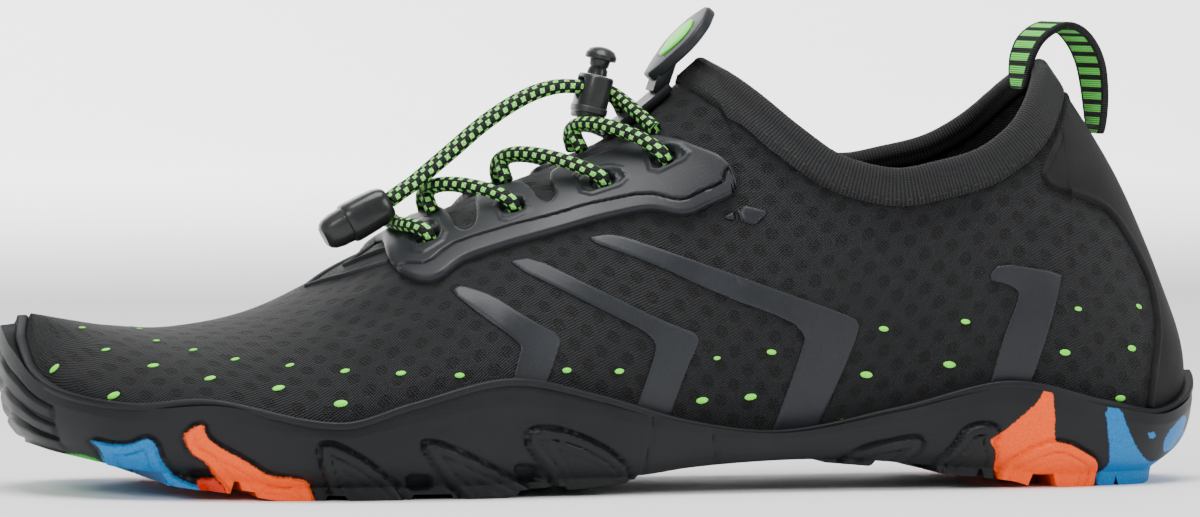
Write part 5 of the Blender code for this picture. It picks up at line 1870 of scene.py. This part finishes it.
def build_outsole():
    columns, kinds = sole_columns()
    count, rows = columns.shape[:2]
    points = columns.reshape(-1, 3)
    kinds = kinds.reshape(-1, 4)
    turns = np.repeat([turned for turned, _ in ring(SOLE_TURNS)], rows)
    places = flat(points)
    on_wall = (kinds[:, 3] >= 0) & (kinds[:, 3] < 2)
    rise = np.zeros(len(points))
    for outline in LEAVES:
        shape = side_outline(outline)
        distance = inside_distance(places, shape)
        leaf = LUG_PROUD * soft(distance + 0.0001, 0.0005)
        leaf -= 0.0006 * soft(0.0004 - np.abs(distance - 0.0022), 0.0004)
        leaf -= 0.0004 * soft(0.0004 - np.abs(distance - 0.0042), 0.0004)
        rise -= 0.0005 * soft(0.0006 - np.abs(distance + 0.0005), 0.0004) * (rise < 0.0003)
        rise = np.where(distance > -0.0002, np.maximum(rise, leaf), rise)
    toe = np.clip((turns - TOE_RIB_TURN) / 0.004, 0, 1)
    for low, high in TOE_RIBS:
        band = soft(kinds[:, 3] - low, 0.03) * soft(high - kinds[:, 3], 0.03)
        near = np.abs(kinds[:, 3] - (low + high) / 2) < 0.12
        rise += RIB_PROUD * (2 * band - 1) * toe * near * (rise < 0.0003)
    for outline in WINDOWS:
        distance = inside_distance(places, side_outline(outline))
        rise -= WINDOW_DEPTH * soft(distance, 0.0008)
    for place_along, lean in SIDE_CUTS:
        line = np.array(
            [(LENGTH * (0.5 - place_along), 0.0), (LENGTH * (0.5 - place_along - lean * 0.1), 0.020)]
        )
        rise -= CUT_DEPTH * np.clip(1 - line_distance(places, line) / CUT_HALF, 0, 1)
    points = points + kinds[:, :3] * (rise * on_wall)[:, None]
    under = kinds[:, 3] == -1
    grooves = np.abs(np.abs(points[:, 1] - MM) - GROOVE_ASIDE * BALL_WIDTH)
    points[:, 2] += under * GROOVE_DEPTH * soft(GROOVE_HALF - grooves, GROOVE_SLOPE)
    faces = grid_faces(count, rows, True)
    first, faces = weld(points, faces, 2e-7)
    made = piece("outsole_rubber", points[first], faces, rubber, 50.0)
    face_out(made)
    own = flat(points[first])
    from_top = kinds[first][:, 3] >= 2
    for name, outlines in PAINT.items():
        inside = np.full(len(own), -PAINT_REACH)
        for outline in outlines:
            inside = np.maximum(inside, inside_distance(own, side_outline(outline)))
        give_value(made, name, np.where(from_top, -PAINT_REACH, np.clip(inside, -PAINT_REACH, PAINT_REACH)))
    return made


outsole = build_outsole()
print("outsole", len(outsole.data.polygons), "faces")

# %% [markdown]
# ## Insole
# The foam insole lies on the sole's floor inside the upper, with a rounded upper edge.

# %% Insole
def build_insole():
    inset = FEATHER_INSET + UPPER_WALL + 0.0008
    turns = [step / 119 for step in range(120)]
    columns = []
    for turned, side in ring(turns):
        out = outward(turned, side)
        point = inset_outline(turned, side, inset)
        low = floor_height(point.x) + GAP
        middle = Vector((point.x, BALL_WIDTH * smooth(OUTLINE, "centre", along_of(point.x)), low + 0.004))
        edge = Vector((point.x, point.y, low))
        rows = [Vector((middle.x, middle.y, low)), edge, edge + Vector((0, 0, 0.0030))]
        rows.append(edge + Vector((0, 0, 0.0037)) - out * 0.0003)
        rows += [edge + Vector((0, 0, 0.0040)) - out * 0.0010, middle]
        columns.append([tuple(row) for row in rows])
    array = np.array(columns)
    faces = grid_faces(array.shape[0], array.shape[1], True)
    points = array.reshape(-1, 3)
    first, faces = weld(points, faces, 2e-7)
    made = piece("insole_pad", points[first], faces, foam, 50.0)
    face_out(made)
    return made


insole = build_insole()

# %% [markdown]
# ## Printed dots and stitches
# Small things that repeat are set on points by Geometry Nodes. One tree does it for all: it takes a
# cloud of points that know which way they face and head, sets a flattened bead on each, makes the
# copies real, and gives them their material.

# %% Bead tree
def bead_tree():
    tree = bpy.data.node_groups.new("beads_on_points", "GeometryNodeTree")
    tree.interface.new_socket("Geometry", in_out="INPUT", socket_type="NodeSocketGeometry")
    for name in ("Length", "Width", "Height"):
        tree.interface.new_socket(name, in_out="INPUT", socket_type="NodeSocketFloat")
    tree.interface.new_socket("Finish", in_out="INPUT", socket_type="NodeSocketMaterial")
    tree.interface.new_socket("Geometry", in_out="OUTPUT", socket_type="NodeSocketGeometry")
    nodes = tree.nodes
    links = tree.links
    start = nodes.new("NodeGroupInput")
    end = nodes.new("NodeGroupOutput")
    bead = nodes.new("GeometryNodeMeshUVSphere")
    bead.inputs["Segments"].default_value = 12
    bead.inputs["Rings"].default_value = 6
    bead.inputs["Radius"].default_value = 0.5
    size = nodes.new("ShaderNodeCombineXYZ")
    shaped = nodes.new("GeometryNodeTransform")
    named = {}
    for name, kind in (("facing", "FLOAT_VECTOR"), ("heading", "FLOAT_VECTOR"), ("grow", "FLOAT")):
        named[name] = nodes.new("GeometryNodeInputNamedAttribute")
        named[name].data_type = kind
        named[name].inputs["Name"].default_value = name
    upright = nodes.new("FunctionNodeAlignRotationToVector")
    upright.axis = "Z"
    turned = nodes.new("FunctionNodeAlignRotationToVector")
    turned.axis = "X"
    turned.pivot_axis = "Z"
    spread = nodes.new("GeometryNodeInstanceOnPoints")
    real = nodes.new("GeometryNodeRealizeInstances")
    dress = nodes.new("GeometryNodeSetMaterial")
    for number, name in enumerate(("Length", "Width", "Height")):
        links.new(start.outputs[name], size.inputs[number])
    for source, output, target, socket in (
        (bead, "Mesh", shaped, "Geometry"),
        (size, "Vector", shaped, "Scale"),
        (named["facing"], "Attribute", upright, "Vector"),
        (upright, "Rotation", turned, "Rotation"),
        (named["heading"], "Attribute", turned, "Vector"),
        (start, "Geometry", spread, "Points"),
        (shaped, "Geometry", spread, "Instance"),
        (turned, "Rotation", spread, "Rotation"),
        (named["grow"], "Attribute", spread, "Scale"),
        (spread, "Instances", real, "Geometry"),
        (real, "Geometry", dress, "Geometry"),
        (start, "Finish", dress, "Material"),
        (dress, "Geometry", end, "Geometry"),
    ):
        links.new(source.outputs[output], target.inputs[socket])
    return tree


BEADS = bead_tree()


def beads(name, spots, size, material):
    """Beads on spots given as (point, facing, heading, growth), as one plain mesh."""
    mesh = bpy.data.meshes.new(name)
    mesh.from_pydata([tuple(spot[0] + CENTRE) for spot in spots], [], [])
    for label, index in (("facing", 1), ("heading", 2)):
        attribute = mesh.attributes.new(label, "FLOAT_VECTOR", "POINT")
        vectors = np.array([tuple(spot[index]) for spot in spots], np.float32)
        attribute.data.foreach_set("vector", vectors.ravel())
    growth = mesh.attributes.new("grow", "FLOAT", "POINT")
    growth.data.foreach_set("value", np.array([spot[3] for spot in spots], np.float32))
    thing = bpy.data.objects.new(name, mesh)
    bpy.context.scene.collection.objects.link(thing)
    modifier = thing.modifiers.new("beads", "NODES")
    modifier.node_group = BEADS
    sockets = {item.name: item.identifier for item in BEADS.interface.items_tree if item.in_out == "INPUT"}
    for label, value in zip(("Length", "Width", "Height"), size):
        modifier[sockets[label]] = value
    modifier[sockets["Finish"]] = material
    bake(thing)
    thing.data.shade_smooth()
    return thing


# %% Dots
DOTS = table(
    "along height grow",
    (0.939, 0.386, 0.7), (0.890, 0.381, 0.55), (0.928, 0.341, 0.85), (0.884, 0.359, 0.7),
    (0.859, 0.341, 0.8), (0.830, 0.323, 0.85), (0.790, 0.312, 0.85), (0.968, 0.296, 1.25),
    (0.930, 0.241, 1.3), (0.895, 0.308, 1.1), (0.854, 0.282, 1.1), (0.803, 0.262, 1.2),
    (0.749, 0.301, 0.9), (0.756, 0.228, 1.3), (0.705, 0.296, 0.95), (0.705, 0.213, 1.2),
    (0.657, 0.290, 0.95), (0.565, 0.297, 0.95), (0.519, 0.292, 0.95), (0.434, 0.318, 0.7),
    (0.387, 0.330, 0.95), (0.446, 0.219, 1.2), (0.404, 0.225, 1.2), (0.291, 0.381, 0.95),
    (0.305, 0.273, 1.2), (0.321, 0.160, 1.5), (0.222, 0.396, 0.9), (0.235, 0.295, 1.2),
    (0.124, 0.422, 0.8), (0.065, 0.422, 0.85), (0.136, 0.320, 1.1), (0.074, 0.325, 1.05),
    (0.084, 0.207, 1.2),
)


def seat_from_side(x, z, side):
    spot, away, _, _ = surface.ray_cast(Vector((x, side * 0.2, z)), Vector((0, -side, 0)))
    if spot is None:
        spot, away, _, _ = surface.find_nearest(Vector((x, side * 0.01, z)))
    return spot, away if away.dot(Vector((0, side, 0.3))) > 0 else -away


def build_dots():
    spots = []
    for one, up, grow in zip(DOTS["along"], DOTS["height"], DOTS["grow"]):
        for side in (-1, 1):
            spot, away = seat_from_side(LENGTH * (0.5 - one), INSTEP_HEIGHT * up, side)
            heading = Vector((-1, 0, 0.12 if one < 0.4 else -0.06))
            spots.append((spot + away * 0.0001, away, heading, grow))
    return beads("printed_dots", spots, (0.0025, 0.0013, 0.0005), print_green)


dots = build_dots()


# %% Stitches
def stitch_line(places, pitch, lift):
    """Stitches at even steps along a line of (point, facing) on the shoe."""
    spots = []
    wait = 0.0
    for (before, _), (after, facing) in zip(places, places[1:]):
        wait += (after - before).length
        if wait >= pitch:
            wait = 0.0
            spots.append((after + facing * lift, facing, after - before, 1.0))
    return spots


def build_stitches():
    lines = []
    for spot, out, down in edge_frames + edge_frames[:1]:
        near, away, _, _ = surface.find_nearest(spot + down * (TAPE_WIDTH - 0.0012))
        away = away if away.dot(out) > 0 else -away
        lines.append((near + away * TAPE_THICKNESS * 0.8, away))
    fine = []
    for (first, away), (second, _) in zip(lines, lines[1:]):
        for share in (0.0, 0.25, 0.5, 0.75):
            fine.append((first.lerp(second, share), away))
    spots = stitch_line(fine, 0.0024, 0.0001)
    return beads("collar_stitches", spots, (0.0019, 0.0005, 0.0005), thread)


stitches = build_stitches()
print("stitches", len(stitches.data.polygons), "faces; dots", len(dots.data.polygons), "faces")

# %% [markdown]
# ## Floor and light
# The shoe stands on a pale floor that curves up behind it, under large soft lights: one above, one
# from the front left, a weaker one from the right, and one aimed at the backdrop.

# %% Studio
def studio_finish():
    material, tree, shader = new_material("pale_floor", 0.75)
    shade = fade(tree, noise(tree, 3.0), 0.3, 0.7)
    dye(tree, shader, blend(tree, shade, (0.86, 0.86, 0.86), (0.90, 0.90, 0.90)))
    return material


def build_floor():
    profile = [(-6.0, 0.0), (2.2, 0.0)]
    bend = np.linspace(0.15, math.pi / 2, 10)
    profile += [(2.2 + 1.2 * math.sin(a), 1.2 - 1.2 * math.cos(a)) for a in bend]
    profile.append((3.4, 6.0))
    points = [(x, y, z) for y, z in profile for x in (-7.0, 7.0)]
    faces = [(2 * step, 2 * step + 1, 2 * step + 3, 2 * step + 2) for step in range(len(profile) - 1)]
    mesh = bpy.data.meshes.new("floor")
    mesh.from_pydata(points, [], faces)
    mesh.shade_smooth()
    mesh.materials.append(studio_finish())
    floor = bpy.data.objects.new("floor", mesh)
    bpy.context.scene.collection.objects.link(floor)
    return floor


def soft_light(name, place_of, aim, size, power):
    data = bpy.data.lights.new(name, "AREA")
    data.shape = "DISK"
    data.size = size
    data.energy = power
    lamp = bpy.data.objects.new(name, data)
    bpy.context.scene.collection.objects.link(lamp)
    lamp.location = Vector(place_of)
    lamp.rotation_euler = (Vector(aim) - lamp.location).to_track_quat("-Z", "Y").to_euler()
    return lamp


floor = build_floor()
soft_light("above", (0.0, -0.1, 1.3), (0, 0, 0.04), 1.0, 24.0)
soft_light("front_left", (-0.9, -1.1, 0.8), (0, 0, 0.05), 0.7, 12.0)
soft_light("front_right", (1.1, -0.9, 0.7), (0, 0, 0.05), 0.6, 7.0)
soft_light("backdrop", (0.0, 1.6, 1.4), (0.0, 3.2, 0.6), 1.2, 120.0)
world = bpy.data.worlds.new("room") if bpy.context.scene.world is None else bpy.context.scene.world
bpy.context.scene.world = world
world.use_nodes = True
backdrop = world.node_tree.nodes["Background"]
backdrop.inputs["Color"].default_value = (1.0, 1.0, 1.0, 1.0)
backdrop.inputs["Strength"].default_value = 0.55

# %% [markdown]
# ## The pieces on the frame
# Each piece rides on the one body, and the plain solid that it stands for is hidden.

# %% Ride and replace
def settle(thing, slot, *nodes):
    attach(thing, "root")
    if nodes:
        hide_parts(*nodes)


settle(upper, "black_knit", "upper")
settle(insole, "insole_foam", "insole")
settle(outsole, "grey_rubber", "outsole")
settle(binding, "ribbed_tape", "collar_binding")
settle(heel_panel, "heel_suede", "heel_panel")
settle(heel_loop, "green_webbing", "heel_loop")
settle(tab_pieces[0], "moulded_grey", "instep_tab")
settle(tab_pieces[1], "green_webbing")
for thing in tab_pieces[2:]:
    settle(thing, "moulded_grey")
for name, thing in films.items():
    settle(thing, "slate_film", name)
for word, thing in stays.items():
    settle(thing, "moulded_grey", f"eyestay_{word}")
for name, strands in laces.items():
    node = "lace_bar" if name == "bar" else f"lace_crossing_{name}"
    for strand in strands:
        settle(strand, "checked_cord", node)
settle(lock[0], "lock_plastic", "cord_lock_barrel")
settle(lock[1], "lock_plastic")
settle(lock[2], "lock_plastic")
settle(lock[3], "lock_plastic", "cord_lock_button")
settle(end_cap, "lock_plastic", "cord_end_cap")
settle(dots, "green_webbing")
settle(stitches, "ribbed_tape")
for rib in vamp_ribs:
    settle(rib, "slate_film")
for word, strand in free_cords.items():
    settle(strand, "checked_cord", f"free_cord_{word}")
    route = [point + CENTRE for point in free_routes[word]]
